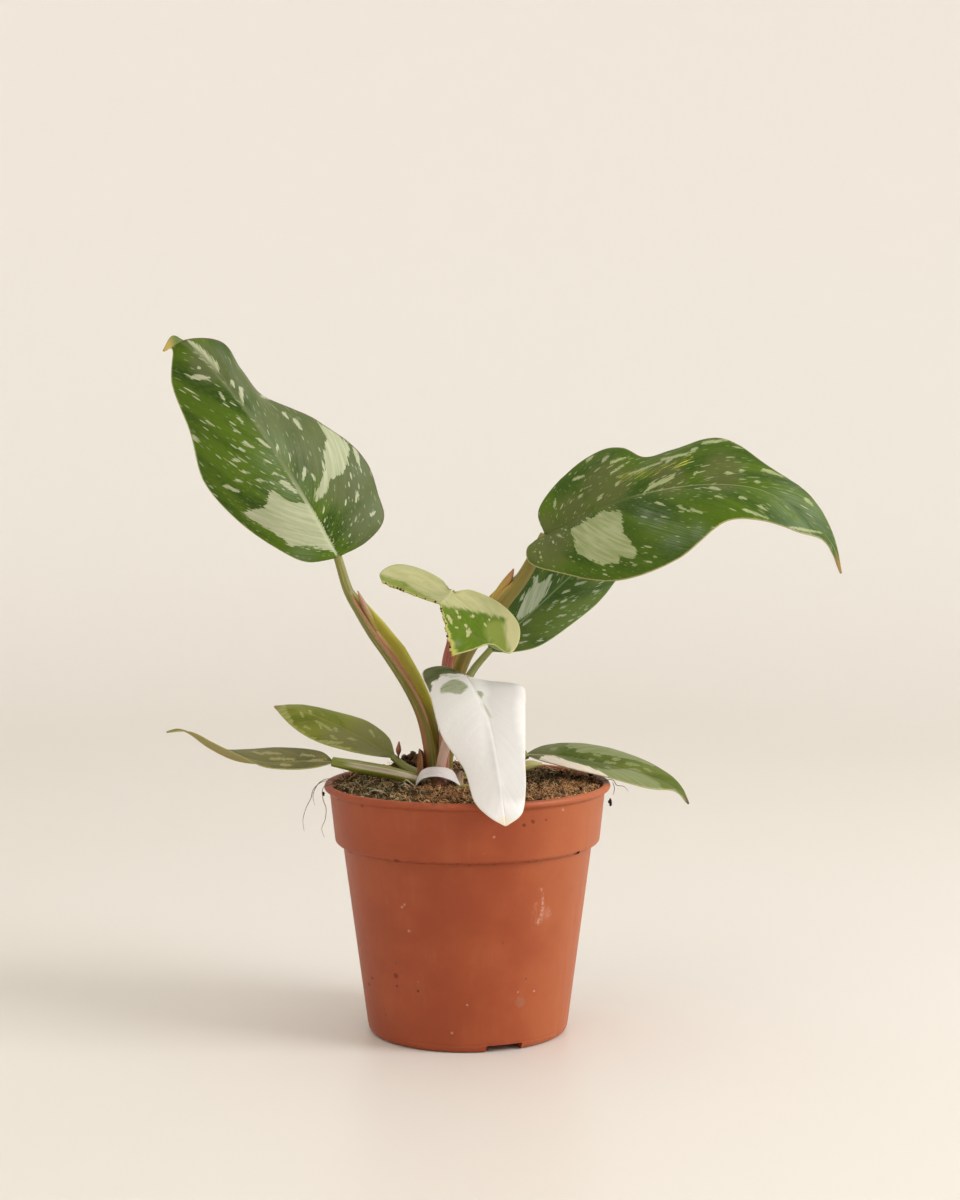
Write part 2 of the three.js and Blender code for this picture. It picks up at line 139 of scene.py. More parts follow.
class Finish(NodeMaker):
    """A material: one Principled shader and the patterns that drive it."""

    def __init__(self, name, **sockets):
        self.material = bpy.data.materials.new(name)
        self.material.use_nodes = True
        super().__init__(self.material.node_tree)
        self.shader = self.tree.nodes["Principled BSDF"]
        self.set(sockets)

    def set(self, sockets):
        for name, value in sockets.items():
            socket = self.shader.inputs[name.replace("_", " ")]
            if isinstance(value, Value):
                self.tree.links.new(value.socket, socket)
            else:
                socket.default_value = value

    def place(self):
        return self.node("ShaderNodeTexCoord", output="Object")

    def attribute(self, name, output="Fac"):
        return self.node("ShaderNodeAttribute", {"attribute_name": name}, output=output)

    def stretch(self, vector, scale):
        return self.node("ShaderNodeVectorMath", {"operation": "MULTIPLY"}, {0: vector, 1: scale})

    def part(self, vector, axis):
        return self.node("ShaderNodeSeparateXYZ", {}, {0: vector}, axis)

    def noise(self, vector, scale, detail=3, roughness=0.55, distortion=0):
        inputs = {"Vector": vector, "Scale": scale, "Detail": detail, "Roughness": roughness}
        return self.node("ShaderNodeTexNoise", {}, {**inputs, "Distortion": distortion})

    def specks(self, vector, scale, size, share):
        """Small spots, one in each cell that the share keeps, of varied sizes."""
        cells = {"Vector": vector, "Scale": scale, "Randomness": 1}
        distance = self.node("ShaderNodeTexVoronoi", {}, cells, "Distance")
        lot = self.part(self.node("ShaderNodeTexVoronoi", {}, cells, "Color"), 0)
        kept = self.rise(lot, 1 - share, 1.02 - share)
        reach = kept * (0.45 + 0.55 * self.rise(lot, 1 - share, 1)) * size
        return self.rise(reach - distance, 0, size * 0.2)

    def rise(self, value, low, high):
        """0 below low, 1 above high, and a smooth step between them."""
        limits = {"Value": value, "From Min": low, "From Max": high}
        return self.node("ShaderNodeMapRange", {"interpolation_type": "SMOOTHSTEP"}, limits)

    def mix(self, share, first, second):
        """The first colour, turning into the second with the share."""
        colours = {0: share, 6: first, 7: second}
        return self.node("ShaderNodeMix", {"data_type": "RGBA"}, colours, 2)

    def relief(self, height, distance, strength=1):
        depth = {"Height": height, "Distance": distance * MM, "Strength": strength}
        self.set({"Normal": self.node("ShaderNodeBump", {}, depth)})


def make_piece(name, points, faces, finish, attributes=None, smooth=True):
    """A mesh object at the origin. The attributes are numbers or vectors for each point."""
    mesh = bpy.data.meshes.new(name)
    mesh.from_pydata((np.asarray(points, float) * MM).tolist(), [], faces)
    for label, values in (attributes or {}).items():
        values = np.asarray(values, np.float32)
        kind, field = ("FLOAT", "value") if values.ndim == 1 else ("FLOAT_VECTOR", "vector")
        mesh.attributes.new(label, kind, "POINT").data.foreach_set(field, values.ravel())
    if smooth:
        mesh.shade_smooth()
    mesh.materials.append(finish.material)
    piece = bpy.data.objects.new(name, mesh)
    scene.collection.objects.link(piece)
    return piece


def ring_faces(rings, sides, first=0):
    """Faces between rings of points that follow one another, from the first point on."""
    return [
        (start + j, start + (j + 1) % sides, start + sides + (j + 1) % sides, start + sides + j)
        for start in range(first, first + (rings - 1) * sides, sides)
        for j in range(sides)
    ]


def revolve(profile, sides):
    """Points and faces of a profile of (radius, height) turned about Z. It starts and ends on the axis."""
    angles = np.arange(sides) / sides * 2 * math.pi
    rings = [
        np.stack([r * np.cos(angles), r * np.sin(angles), np.full(sides, z)], 1) for r, z in profile[1:-1]
    ]
    points = np.concatenate([[(0, 0, profile[0][1])], *rings, [(0, 0, profile[-1][1])]])
    end = len(points) - 1
    last = end - sides
    faces = [(0, 1 + (j + 1) % sides, 1 + j) for j in range(sides)]
    faces += ring_faces(len(rings), sides, 1)
    faces += [(end, last + j, last + (j + 1) % sides) for j in range(sides)]
    return points, faces


def bend(start, corner, end, steps):
    """Points of a smooth bend from start to end, which leans on the corner."""
    start, corner, end = (np.array(point, float) for point in (start, corner, end))
    ts = np.linspace(0, 1, steps + 1)[:, None]
    return list(map(tuple, (1 - ts) ** 2 * start + 2 * ts * (1 - ts) * corner + ts ** 2 * end))


paper = Finish("paper", Roughness=0.42, Specular_IOR_Level=0.3)
paper_place = paper.place()
paper_cloud = paper.rise(paper.noise(paper_place, 1.3, 2), 0.35, 0.7)
paper_across = paper.part(paper_place, 0)
paper_depth = paper.part(paper_place, 1)
# Painted light: the paper is painted lighter far from the pot and up the wall, to brighten the backdrop.
painted_bright_far_off = paper.rise(paper_across * paper_across + paper_depth * paper_depth, 0.5, 2.6)
paper.set({"Base Color": paper.mix(painted_bright_far_off, paper.mix(paper_cloud, PAPER, PAPER_WARM), PAPER_PAINTED_BRIGHT)})
paper.relief(paper.noise(paper_place, 260, 3), 0.15, 0.25)

sweep_wall = FLOOR_REACH + SWEEP_BEND
sweep_profile = [(r, 0) for r in (300, 600, 800)]
sweep_profile += bend((FLOOR_REACH, 0), (sweep_wall, 0), (sweep_wall, SWEEP_BEND), 24)
sweep_profile += [(sweep_wall, SWEEP_HEIGHT)]
sweep_points, sweep_faces = revolve([(0, 0), *sweep_profile, (0, SWEEP_HEIGHT)], SWEEP_SIDES)
open_top = len(sweep_points) - 1
sweep_faces = [face[::-1] for face in sweep_faces if open_top not in face]
sweep = make_piece("sweep", sweep_points[:open_top], sweep_faces, paper)

world = bpy.data.worlds.new("studio")
world.use_nodes = True
room = world.node_tree.nodes["Background"]
room.inputs["Color"].default_value = ROOM_LIGHT
room.inputs["Strength"].default_value = ROOM_STRENGTH
scene.world = world


def softbox(name, place, aim, size, power, colour):
    """A square soft light, which the camera doesn't see. Its place and size are in metres."""
    light = bpy.data.lights.new(name, "AREA")
    light.size = size
    light.energy = power
    light.color = colour
    lamp = bpy.data.objects.new(name, light)
    lamp.location = place
    lamp.rotation_euler = (Vector(aim) - Vector(place)).to_track_quat("-Z", "Y").to_euler()
    lamp.visible_camera = False
    scene.collection.objects.link(lamp)


softbox("key_light", (1.45, -0.55, 0.95), aim=(0, 0, 0.12), size=0.8, power=21, colour=LAMP_WHITE)
softbox("fill_light", (-0.9, -1.2, 1.0), aim=(0, 0, 0.15), size=1.2, power=3, colour=LAMP_WHITE)


# Pot
# A thin nursery pot, injection-moulded in one piece of satin terracotta-coloured plastic: a rolled lip,
# a band that steps in to a tapered body, and a notched foot ring round a raised floor with drain holes.
POT_HEIGHT = 105
LIP_RADIUS = 60
LIP_HEIGHT = 3.2
GROOVE_RADIUS = 58.4
BAND_TOP_RADIUS = 57.6
BAND_FOOT_RADIUS = 55.4
BAND_FOOT = 80.6
BODY_TOP_RADIUS = 52.2
BODY_FOOT_RADIUS = 42
POT_WALL = 1.6
FOOT_ROUND = 2.4
FOOT_RING_RADIUS = 40
FOOT_RING_WIDTH = 2.6
GUTTER_HEIGHT = 3
PAD_RADIUS = 12
POT_SIDES = 160
NOTCH_COUNT = 3
NOTCH_WIDTH = 15.5
NOTCH_ANGLE_DEG = 21
DRAIN_COUNT = 8
DRAIN_RADIUS = 3
DRAIN_RING_RADIUS = 27
MOULD_LINE_HEIGHT = 3.4
SHARP_EDGE_DEG = 50
TERRACOTTA = (0.335, 0.066, 0.018, 1)
TERRACOTTA_DEEP = (0.295, 0.053, 0.014, 1)
TERRACOTTA_PAINTED_LIT = (0.43, 0.115, 0.035, 1)
TERRACOTTA_DUSTY = (0.45, 0.19, 0.11, 1)
SCRATCH_WHITE = (0.75, 0.52, 0.43, 1)
GRIME = (0.05, 0.03, 0.02, 1)
DIRT_BROWN = (0.13, 0.014, 0.003, 1)
SMUDGE_BROWN = (0.3, 0.2, 0.14, 1)
DIRT_MARKS = [
    (-29.2, 30.5, 1.3), (-39.5, 26.5, 0.8), (-40.9, 23, 0.8), (-28.8, 26.2, 0.7), (-20.2, 25.5, 0.7),
    (-28.3, 79.8, 1.3), (-48.4, 79.2, 1.3), (22.5, 95.3, 0.9), (26.1, 96.4, 1), (31.4, 96.5, 0.6),
    (-42.4, 101, 0.8), (44, 79.6, 1.2),
]
PALE_MARKS = [
    (-26.4, 60.3, 0.7), (-25.4, 61.4, 0.6), (-23.6, 50.5, 0.7), (20.3, 24.9, 0.5), (26.9, 24.3, 0.6),
    (-0.3, 20.7, 0.6), (-6.4, 8.7, 0.7), (10.5, 91.1, 0.7), (38.4, 99.7, 0.6),
]
SMUDGE = (21.1, 20.5, 2.6)
SCRATCH_HAZE = (29, 57, 5)
SCRATCH_MIDDLE = (30.5, 62)
SCRATCH_BEND = 0.028
SCRATCH_ENDS = (50, 68.5)


def rounded(corners, radius=0.5):
    """A profile whose corners are rounded off, each by as much as the stretches beside it allow."""
    corners = [np.array(corner, float) for corner in corners]
    profile = [tuple(corners[0])]
    for before, corner, after in zip(corners, corners[1:], corners[2:]):
        back = before - corner
        ahead = after - corner
        reach = min(radius, 0.4 * np.linalg.norm(back), 0.4 * np.linalg.norm(ahead))
        start = corner + back / np.linalg.norm(back) * reach
        end = corner + ahead / np.linalg.norm(ahead) * reach
        profile += bend(start, corner, end, 3)
    return profile + [tuple(corners[-1])]


def prism(name, outline, low, high):
    """An upright prism over an outline, in a mesh of its own, to cut with."""
    count = len(outline)
    points = [(x, y, z) for z in (low, high) for x, y in outline]
    faces = [tuple(reversed(range(count))), tuple(range(count, 2 * count))]
    faces += ring_faces(2, count)
    mesh = bpy.data.meshes.new(name)
    mesh.from_pydata((np.array(points) * MM).tolist(), [], faces)
    return mesh


def settled(piece):
    """The piece with its modifiers turned into a plain mesh."""
    mesh = bpy.data.meshes.new_from_object(piece.evaluated_get(bpy.context.evaluated_depsgraph_get()))
    piece.modifiers.clear()
    piece.data = mesh
    return piece


pot_floor = GUTTER_HEIGHT + POT_WALL
band_top = POT_HEIGHT - LIP_HEIGHT
ring_inside = FOOT_RING_RADIUS - FOOT_RING_WIDTH
body_slope = (BODY_TOP_RADIUS - BODY_FOOT_RADIUS) / (BAND_FOOT - FOOT_ROUND)
mould_radius = BODY_FOOT_RADIUS + body_slope * (MOULD_LINE_HEIGHT - FOOT_ROUND)
pot_profile = rounded([
    (0, 0),
    (PAD_RADIUS, 0),
    (PAD_RADIUS + 1, GUTTER_HEIGHT),
    (ring_inside - 0.6, GUTTER_HEIGHT),
    (ring_inside, 0),
    (FOOT_RING_RADIUS, 0),
    (BODY_FOOT_RADIUS - 0.7, FOOT_ROUND / 3),
    (BODY_FOOT_RADIUS, FOOT_ROUND),
    (mould_radius - 0.12, MOULD_LINE_HEIGHT),
    (mould_radius + 0.08, MOULD_LINE_HEIGHT + 0.4),
    (BODY_TOP_RADIUS, BAND_FOOT - 1.4),
    (BAND_FOOT_RADIUS - 1, BAND_FOOT - 0.7),
    (BAND_FOOT_RADIUS, BAND_FOOT + 0.3),
    (BAND_TOP_RADIUS, band_top - 0.6),
    (GROOVE_RADIUS, band_top),
    (LIP_RADIUS - 0.4, band_top + 0.6),
    (LIP_RADIUS, POT_HEIGHT - LIP_HEIGHT / 2),
    (LIP_RADIUS - 0.5, POT_HEIGHT - 0.4),
    (LIP_RADIUS - 1.5, POT_HEIGHT),
    (BAND_TOP_RADIUS - 0.6, POT_HEIGHT - 0.4),
    (BAND_TOP_RADIUS - POT_WALL, band_top),
    (BAND_FOOT_RADIUS - POT_WALL, BAND_FOOT + 0.6),
    (BODY_TOP_RADIUS - POT_WALL, BAND_FOOT - 1.4),
    (BODY_FOOT_RADIUS - POT_WALL + 0.3, pot_floor),
    (PAD_RADIUS, pot_floor),
    (PAD_RADIUS - 1, POT_WALL),
    (0, POT_WALL),
])

plastic = Finish("terracotta_plastic", Specular_IOR_Level=0.35)
plastic_place = plastic.place()
height = plastic.part(plastic_place, 2) * (1 / MM)
cloud = plastic.noise(plastic_place, 38, 4, 0.6)
streaks = plastic.noise(plastic.stretch(plastic_place, (260, 260, 22)), 1, 4, 0.6)
dust = plastic.rise(cloud * 0.5 + streaks * 0.5, 0.5, 0.68)
colour = plastic.mix(plastic.rise(cloud, 0.35, 0.65), TERRACOTTA_DEEP, TERRACOTTA)
colour = plastic.mix(dust * 0.12, colour, TERRACOTTA_DUSTY)
near_step = 1 - plastic.rise(abs(height - (BAND_FOOT - 1)), 0.3, 1.6)
near_groove = 1 - plastic.rise(abs(height - band_top), 0.1, 1)
near_lip = plastic.rise(height, band_top + 0.4, POT_HEIGHT)
dirt_noise = plastic.noise(plastic_place, 420, 4, 0.7)
dirt_run = plastic.rise(plastic.noise(plastic_place, 60, 3), 0.48, 0.66)
grime = near_step.most(near_groove * 0.7).most(near_lip * 0.8) * plastic.rise(dirt_noise, 0.46, 0.62)
colour = plastic.mix(grime * dirt_run * 0.8, colour, GRIME)
spots = plastic.specks(plastic_place, 210, 0.16, 0.10)
colour = plastic.mix(spots * 0.75, colour, GRIME)
pale_spots = plastic.specks(plastic.stretch(plastic_place, (1, 1, 0.55)), 300, 0.11, 0.07)
colour = plastic.mix(pale_spots * 0.4, colour, TERRACOTTA_DUSTY)
aside = plastic.part(plastic_place, 0) * (1 / MM)
on_front = 1 - plastic.rise(plastic.part(plastic_place, 1), -0.012, -0.004)
fray = plastic.noise(plastic_place, 1100, 3, 0.6) - 0.5


def pot_mark(x, z, reach):
    """A small mark with a frayed edge on the front of the wall."""
    away = aside + fray * (1.6 * reach) - x
    above = height - fray * (1.6 * reach) - z
    return 1 - plastic.rise(away * away + above * above, 0.3 * reach ** 2, reach ** 2)


# Painted light: the wall turns lighter and more orange towards the right, the side that faces the key light.
colour = plastic.mix(plastic.rise(aside + (cloud - 0.5) * 30, 8, 52) * 0.8, colour, TERRACOTTA_PAINTED_LIT)
above_middle = height - SCRATCH_MIDDLE[1]
off_scratch = abs(aside - SCRATCH_MIDDLE[0] + above_middle * above_middle * SCRATCH_BEND + fray * 2.5)
in_scratch = plastic.rise(height, SCRATCH_ENDS[0], SCRATCH_ENDS[0] + 4)
in_scratch *= 1 - plastic.rise(height, SCRATCH_ENDS[1] - 2, SCRATCH_ENDS[1])
scratched = (1 - plastic.rise(off_scratch, 0.1, 0.8)) * in_scratch * on_front
colour = plastic.mix(scratched * plastic.rise(dirt_noise, 0.42, 0.62) * 0.5, colour, SCRATCH_WHITE)
haze = pot_mark(*SCRATCH_HAZE) * on_front * plastic.rise(streaks, 0.5, 0.62)
colour = plastic.mix(haze * 0.2, colour, SCRATCH_WHITE)
for mark in PALE_MARKS:
    colour = plastic.mix(pot_mark(*mark) * on_front * 0.3, colour, SCRATCH_WHITE)
colour = plastic.mix(pot_mark(*SMUDGE) * on_front * 0.2, colour, SMUDGE_BROWN)
for mark in DIRT_MARKS:
    colour = plastic.mix(pot_mark(*mark) * on_front * 0.85, colour, DIRT_BROWN)
plastic.set({"Base Color": colour})
plastic.set({"Roughness": 0.4 + dust * 0.15 + plastic.noise(plastic_place, 900, 2) * 0.12 + grime * 0.2})
plastic.relief(plastic.noise(plastic_place, 1500, 2) + cloud * 2, 0.05, 0.35)

pot = make_piece("nursery_pot", *revolve(pot_profile, POT_SIDES), plastic)
cutters = []
for i in range(NOTCH_COUNT):
    half = NOTCH_WIDTH / 2
    near = -FOOT_RING_RADIUS - 4
    far = -ring_inside + 1.5
    notch = prism("notch", [(-half, near), (half, near), (half, far), (-half, far)], -1, GUTTER_HEIGHT)
    notch.transform(Matrix.Rotation(math.radians(NOTCH_ANGLE_DEG + 360 * i / NOTCH_COUNT), 4, "Z"))
    cutters.append(notch)
drain_angles = np.arange(32) / 32 * 2 * math.pi
drain_outline = [
    (DRAIN_RING_RADIUS + DRAIN_RADIUS * math.cos(a), DRAIN_RADIUS * math.sin(a)) for a in drain_angles
]
for i in range(DRAIN_COUNT):
    drain = prism("drain", drain_outline, 0, 3 * POT_WALL + GUTTER_HEIGHT)
    drain.transform(Matrix.Rotation((i + 0.5) / DRAIN_COUNT * 2 * math.pi, 4, "Z"))
    cutters.append(drain)
for cutter_mesh in cutters:
    cutter = bpy.data.objects.new("cutter", cutter_mesh)
    scene.collection.objects.link(cutter)
    cut = pot.modifiers.new("cut", "BOOLEAN")
    cut.operation = "DIFFERENCE"
    cut.object = cutter
    settled(pot)
    bpy.data.objects.remove(cutter)
pot.data.shade_smooth()
pot.data.set_sharp_from_angle(angle=math.radians(SHARP_EDGE_DEG))


def seat(piece, node):
    """A piece that stands for a node of the solids."""
    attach(piece, "root")
    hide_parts(node)


def lay(piece):
    """A piece that stands for no node of the solids."""
    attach(piece, "root")


seat(pot, "pot")


# Soil
# Moist dark peat, pressed in level with the lip and mounded a little behind the stem, where a heap of crumbs
# lies loose. Light fibres stick out all over, rusty ones and curls lie in patches, and olive moss with pale
# curls has grown, most of it at the front left.
SOIL_LEVEL = 103.6
SOIL_MOUND = 3.4
MOUND_SPREAD = 30
MOUND_PLACE = (-14, 20)
SOIL_LUMPS = 0.7
SOIL_EDGE = BAND_TOP_RADIUS - POT_WALL - 0.15
SOIL_EDGE_CROWDING = 1.15
SOIL_RINGS = 76
SOIL_SIDES = 240
HEAP_CRUMBS = 320
HEAP_MIDDLE = np.array([-24, 17])
HEAP_SPREAD = np.array([6, 5])
HEAP_HEIGHT = 9
HEAP_CRUMB_RADII = (0.5, 1.5)
HEAP_SEED = 40
CRUMB_FLATNESS = 0.75
MOSS_SPOTS = [(-36, -22, 15), (-26, -36, 12), (-44, -2, 9), (24, 22, 10), (40, 4, 7)]
RUSTY_SPOTS = [(46, -4, 9), (-10, -36, 14), (-12, -20, 9), (40, -20, 16), (12, -42, 12), (30, -34, 12)]
PEAT_DARK = (0.022, 0.012, 0.005, 1)
PEAT_BROWN = (0.14, 0.072, 0.028, 1)
PEAT_RUSTY = (0.2, 0.085, 0.036, 1)
PEAT_MOSSY = (0.07, 0.07, 0.03, 1)
FIBRE_DARK = (0.06, 0.035, 0.018, 1)
FIBRE_BROWN = (0.26, 0.15, 0.07, 1)
FIBRE_STRAW = (0.82, 0.56, 0.28, 1)
RUSTY_DARK = (0.12, 0.04, 0.014, 1)
RUSTY_BRIGHT = (0.86, 0.46, 0.2, 1)
CURL_DARK = (0.1, 0.09, 0.035, 1)
CURL_PALE = (0.78, 0.66, 0.36, 1)
MOSS_DARK = (0.04, 0.042, 0.014, 1)
MOSS_OLIVE = (0.18, 0.175, 0.075, 1)
MOSS_STRAW = (0.6, 0.52, 0.26, 1)


def soil_top(x, y):
    """The height of the soil's lumpy top, as in the solid."""
    out = (x - MOUND_PLACE[0]) ** 2 + (y - MOUND_PLACE[1]) ** 2
    mound = SOIL_MOUND * np.exp(-out / MOUND_SPREAD ** 2)
    lumps = np.sin(0.31 * x + 1.7) * np.cos(0.27 * y) + 0.7 * np.sin(0.83 * x - 0.52 * y)
    return SOIL_LEVEL + mound + SOIL_LUMPS * lumps


def rough(points, scale, seed=0):
    """Noise between about -1 and 1 at each point, with lumps of the given size."""
    shift = Vector((seed * 17.3, seed * 5.1, seed * 9.7))
    return np.array([noise.fractal(Vector(point) / scale + shift, 1, 2, 4) for point in points])


def near_spots(points, spots):
    """1 at the middle of each flat spot (x, y, reach) and fading to 0 round it."""
    fades = [
        np.exp(-((points[:, 0] - x) ** 2 + (points[:, 1] - y) ** 2) / reach ** 2) for x, y, reach in spots
    ]
    return np.max(fades, axis=0)


class Grower(NodeMaker):
    """Geometry Nodes that scatter a shape over a surface, by a mask, with random turns, sizes and tints."""

    def __init__(self):
        super().__init__(bpy.data.node_groups.new("scatter", "GeometryNodeTree"))
        face = self.tree.interface
        face.new_socket("Geometry", in_out="INPUT", socket_type="NodeSocketGeometry")
        face.new_socket("Geometry", in_out="OUTPUT", socket_type="NodeSocketGeometry")
        kinds = {
            "Shape": "Object", "Finish": "Material", "Mask": "String", "Density": "Float", "Least": "Float",
            "Greatest": "Float", "Lean": "Float", "Sink": "Float", "Seed": "Int",
        }
        for label, kind in kinds.items():
            face.new_socket(label, in_out="INPUT", socket_type="NodeSocket" + kind)
        group = self.tree.nodes.new("NodeGroupInput")
        given = {label: Value(self, group.outputs[label]) for label in ["Geometry", *kinds]}
        mask = self.node("GeometryNodeInputNamedAttribute", {"data_type": "FLOAT"}, {0: given["Mask"]})
        density = given["Density"] * mask
        spread = {0: given["Geometry"], "Density": density, "Seed": given["Seed"]}
        points = self.node("GeometryNodeDistributePointsOnFaces", {}, spread)
        low = self.node("ShaderNodeCombineXYZ", {}, {0: 0 - given["Lean"], 1: 0 - given["Lean"], 2: 0.0})
        high = self.node("ShaderNodeCombineXYZ", {}, {0: given["Lean"], 1: given["Lean"], 2: 2 * math.pi})
        turn = self.draw("FLOAT_VECTOR", {0: low, 1: high, 8: given["Seed"]}, 0)
        sizes = self.draw("FLOAT", {2: given["Least"], 3: given["Greatest"], 8: given["Seed"] + 7}, 1)
        shape = self.node("GeometryNodeObjectInfo", {}, {0: given["Shape"]}, "Geometry")
        copies = {0: points, "Instance": shape, "Rotation": turn, "Scale": sizes}
        grown = self.node("GeometryNodeInstanceOnPoints", {}, copies)
        drop = self.node("ShaderNodeCombineXYZ", {}, {2: 0 - given["Sink"]})
        sinking = {0: grown, "Translation": drop, "Local Space": False}
        grown = self.node("GeometryNodeTranslateInstances", {}, sinking)
        lot = self.draw("FLOAT", {2: 0.0, 3: 1.0, 8: given["Seed"] + 13}, 1)
        tint = {0: grown, "Name": "tint", "Value": lot}
        on_instances = {"data_type": "FLOAT", "domain": "INSTANCE"}
        grown = self.node("GeometryNodeStoreNamedAttribute", on_instances, tint)
        grown = self.node("GeometryNodeRealizeInstances", {}, {0: grown})
        grown = self.node("GeometryNodeSetMaterial", {}, {0: grown, "Material": given["Finish"]})
        ending = self.tree.nodes.new("NodeGroupOutput")
        self.tree.links.new(grown.socket, ending.inputs[0])

    def draw(self, kind, inputs, output):
        """A random number or vector for each point."""
        return self.node("FunctionNodeRandomValue", {"data_type": kind}, inputs, output)

    def scatter(self, name, ground, **inputs):
        """A new piece: copies of the shape all over the ground, as one plain mesh."""
        piece = bpy.data.objects.new(name, ground.data)
        scene.collection.objects.link(piece)
        growth = piece.modifiers.new("growth", "NODES")
        growth.node_group = self.tree
        for item in self.tree.interface.items_tree:
            if item.in_out == "INPUT" and item.name in inputs:
                growth[item.identifier] = inputs[item.name]
        return settled(piece)


def tube_faces(rings, sides):
    """Faces of a tube of rings of points, with a flat cap at each end."""
    last = (rings - 1) * sides
    return ring_faces(rings, sides) + [tuple(reversed(range(sides))), tuple(range(last, last + sides))]


def tube(points, radius, sides=3, taper=0.3):
    """Points and faces of a thin closed tube along points, narrower towards its ends."""
    points = np.array(points, float)
    ahead = np.gradient(points, axis=0)
    ahead /= np.linalg.norm(ahead, axis=1, keepdims=True)
    side = np.cross(ahead, (0.3, 0.5, 0.81))
    side /= np.linalg.norm(side, axis=1, keepdims=True)
    front = np.cross(ahead, side)
    thick = radius * (taper + (1 - taper) * np.sin(np.linspace(0.1, math.pi - 0.1, len(points))))
    angles = np.arange(sides) / sides * 2 * math.pi
    rings = [
        point + size * (np.cos(angles)[:, None] * a + np.sin(angles)[:, None] * b)
        for point, size, a, b in zip(points, thick, side, front)
    ]
    return np.concatenate(rings), tube_faces(len(points), sides)


def joined(shapes):
    """Several shapes of points and faces as one."""
    points, faces, count = [], [], 0
    for some_points, some_faces in shapes:
        points.append(np.asarray(some_points, float))
        faces += [tuple(corner + count for corner in face) for face in some_faces]
        count += len(some_points)
    return np.concatenate(points), faces


peat = Finish("peat", Specular_IOR_Level=0.25, Roughness=0.9)
peat_place = peat.place()
peat_lumps = peat.noise(peat_place, 260, 5, 0.65)
peat_grain = peat.noise(peat_place, 1400, 4, 0.7)
colour = peat.mix(peat.rise(peat_lumps, 0.4, 0.62), PEAT_DARK, PEAT_BROWN)
rusty = peat.attribute("rusty") * peat.rise(peat.noise(peat_place, 600, 4, 0.7), 0.42, 0.6)
colour = peat.mix(rusty * 0.7, colour, PEAT_RUSTY)
colour = peat.mix(peat.rise(peat_grain, 0.55, 0.72) * 0.5, colour, PEAT_RUSTY)
mossy = peat.attribute("moss") * peat.rise(peat_grain, 0.4, 0.6)
colour = peat.mix(mossy * 0.5, colour, PEAT_MOSSY)
peat.set({"Base Color": colour})
peat.relief(peat_grain + peat_lumps * 2, 0.5, 0.8)

soil_radii = SOIL_EDGE * (1 - (1 - np.linspace(0, 1, SOIL_RINGS + 1)[1:]) ** SOIL_EDGE_CROWDING)
soil_angles = np.arange(SOIL_SIDES) / SOIL_SIDES * 2 * math.pi
flat = np.array([(0, 0), *[(r * math.cos(a), r * math.sin(a)) for r in soil_radii for a in soil_angles]])
top = np.column_stack([flat, soil_top(flat[:, 0], flat[:, 1])])
fade = np.clip((SOIL_EDGE - np.linalg.norm(flat, axis=1)) / 3, 0.25, 1)
top[:, 2] += fade * (0.9 * rough(top, 7, 1) + 0.75 * rough(top, 2.2, 2)) - 0.3
skirt = [
    (BAND_TOP_RADIUS - POT_WALL - 0.3, band_top),
    (BODY_TOP_RADIUS - POT_WALL - 0.4, BAND_FOOT - 1.4),
    (BODY_FOOT_RADIUS - POT_WALL - 0.3, pot_floor + 0.3),
]
skirt_rings = [[(r * math.cos(a), r * math.sin(a), z) for a in soil_angles] for r, z in skirt]
soil_points = np.concatenate([top, *skirt_rings, [(0, 0, pot_floor + 0.3)]])
bottom = len(soil_points) - 1
last_ring = bottom - SOIL_SIDES
soil_faces = [(0, 1 + j, 1 + (j + 1) % SOIL_SIDES) for j in range(SOIL_SIDES)]
soil_faces += [(a, d, c, b) for a, b, c, d in ring_faces(SOIL_RINGS + len(skirt), SOIL_SIDES, 1)]
soil_faces += [(bottom, last_ring + (j + 1) % SOIL_SIDES, last_ring + j) for j in range(SOIL_SIDES)]
on_top = (np.arange(len(soil_points)) < len(top)).astype(float)
masks = {
    "top": on_top,
    "moss": on_top * near_spots(soil_points, MOSS_SPOTS),
    "rusty": on_top * near_spots(soil_points, RUSTY_SPOTS),
}
masks["bare"] = on_top * (1 - 0.7 * masks["moss"])
soil = make_piece("peat_soil", soil_points, soil_faces, peat, masks)
seat(soil, "soil")

grower = Grower()


def uneven_lump(middle, radius, unevenness, pitch, shift, subdivisions=1):
    """Points and faces of a ball that noise dents and swells; a greater pitch makes finer dents."""
    ball = bmesh.new()
    bmesh.ops.create_icosphere(ball, subdivisions=subdivisions, radius=radius)
    points = [
        vertex.co * (1 + unevenness * noise.noise(vertex.co * pitch + Vector(shift))) + Vector(middle)
        for vertex in ball.verts
    ]
    faces = [tuple(vertex.index for vertex in face.verts) for face in ball.faces]
    ball.free()
    return np.array(points), faces


def crumb_shape(name, finish, seed):
    """A small angular lump of 20 faces, about one millimetre across."""
    shift = (seed * 3.7, seed, 0)
    points, faces = uneven_lump((0, 0, 0), radius=0.5, unevenness=0.45, pitch=2.3, shift=shift)
    return make_piece(name, points * (1, 1, CRUMB_FLATNESS), faces, finish, smooth=False)


def fibre_shape(name, finish, length, bow, radius, seed, curl=0):
    """A bent fibre that lies along X with its middle at the origin; a curl winds it up."""
    draw = np.random.default_rng(seed)
    count = 13 if curl else 7
    along = np.linspace(-0.5, 0.5, count)
    wander = np.cumsum(draw.normal(0, 0.24 / math.sqrt(count), (count, 2)), axis=0)
    winding = curl * np.stack([np.cos(13 * along), np.sin(13 * along)], axis=1)
    points = np.column_stack([along, bow * (0.25 - along ** 2) + wander[:, 0], wander[:, 1] * 0.7])
    points[:, 1:] += winding
    points = (points - points[count // 2]) * length
    return make_piece(name, *tube(points, radius), finish)


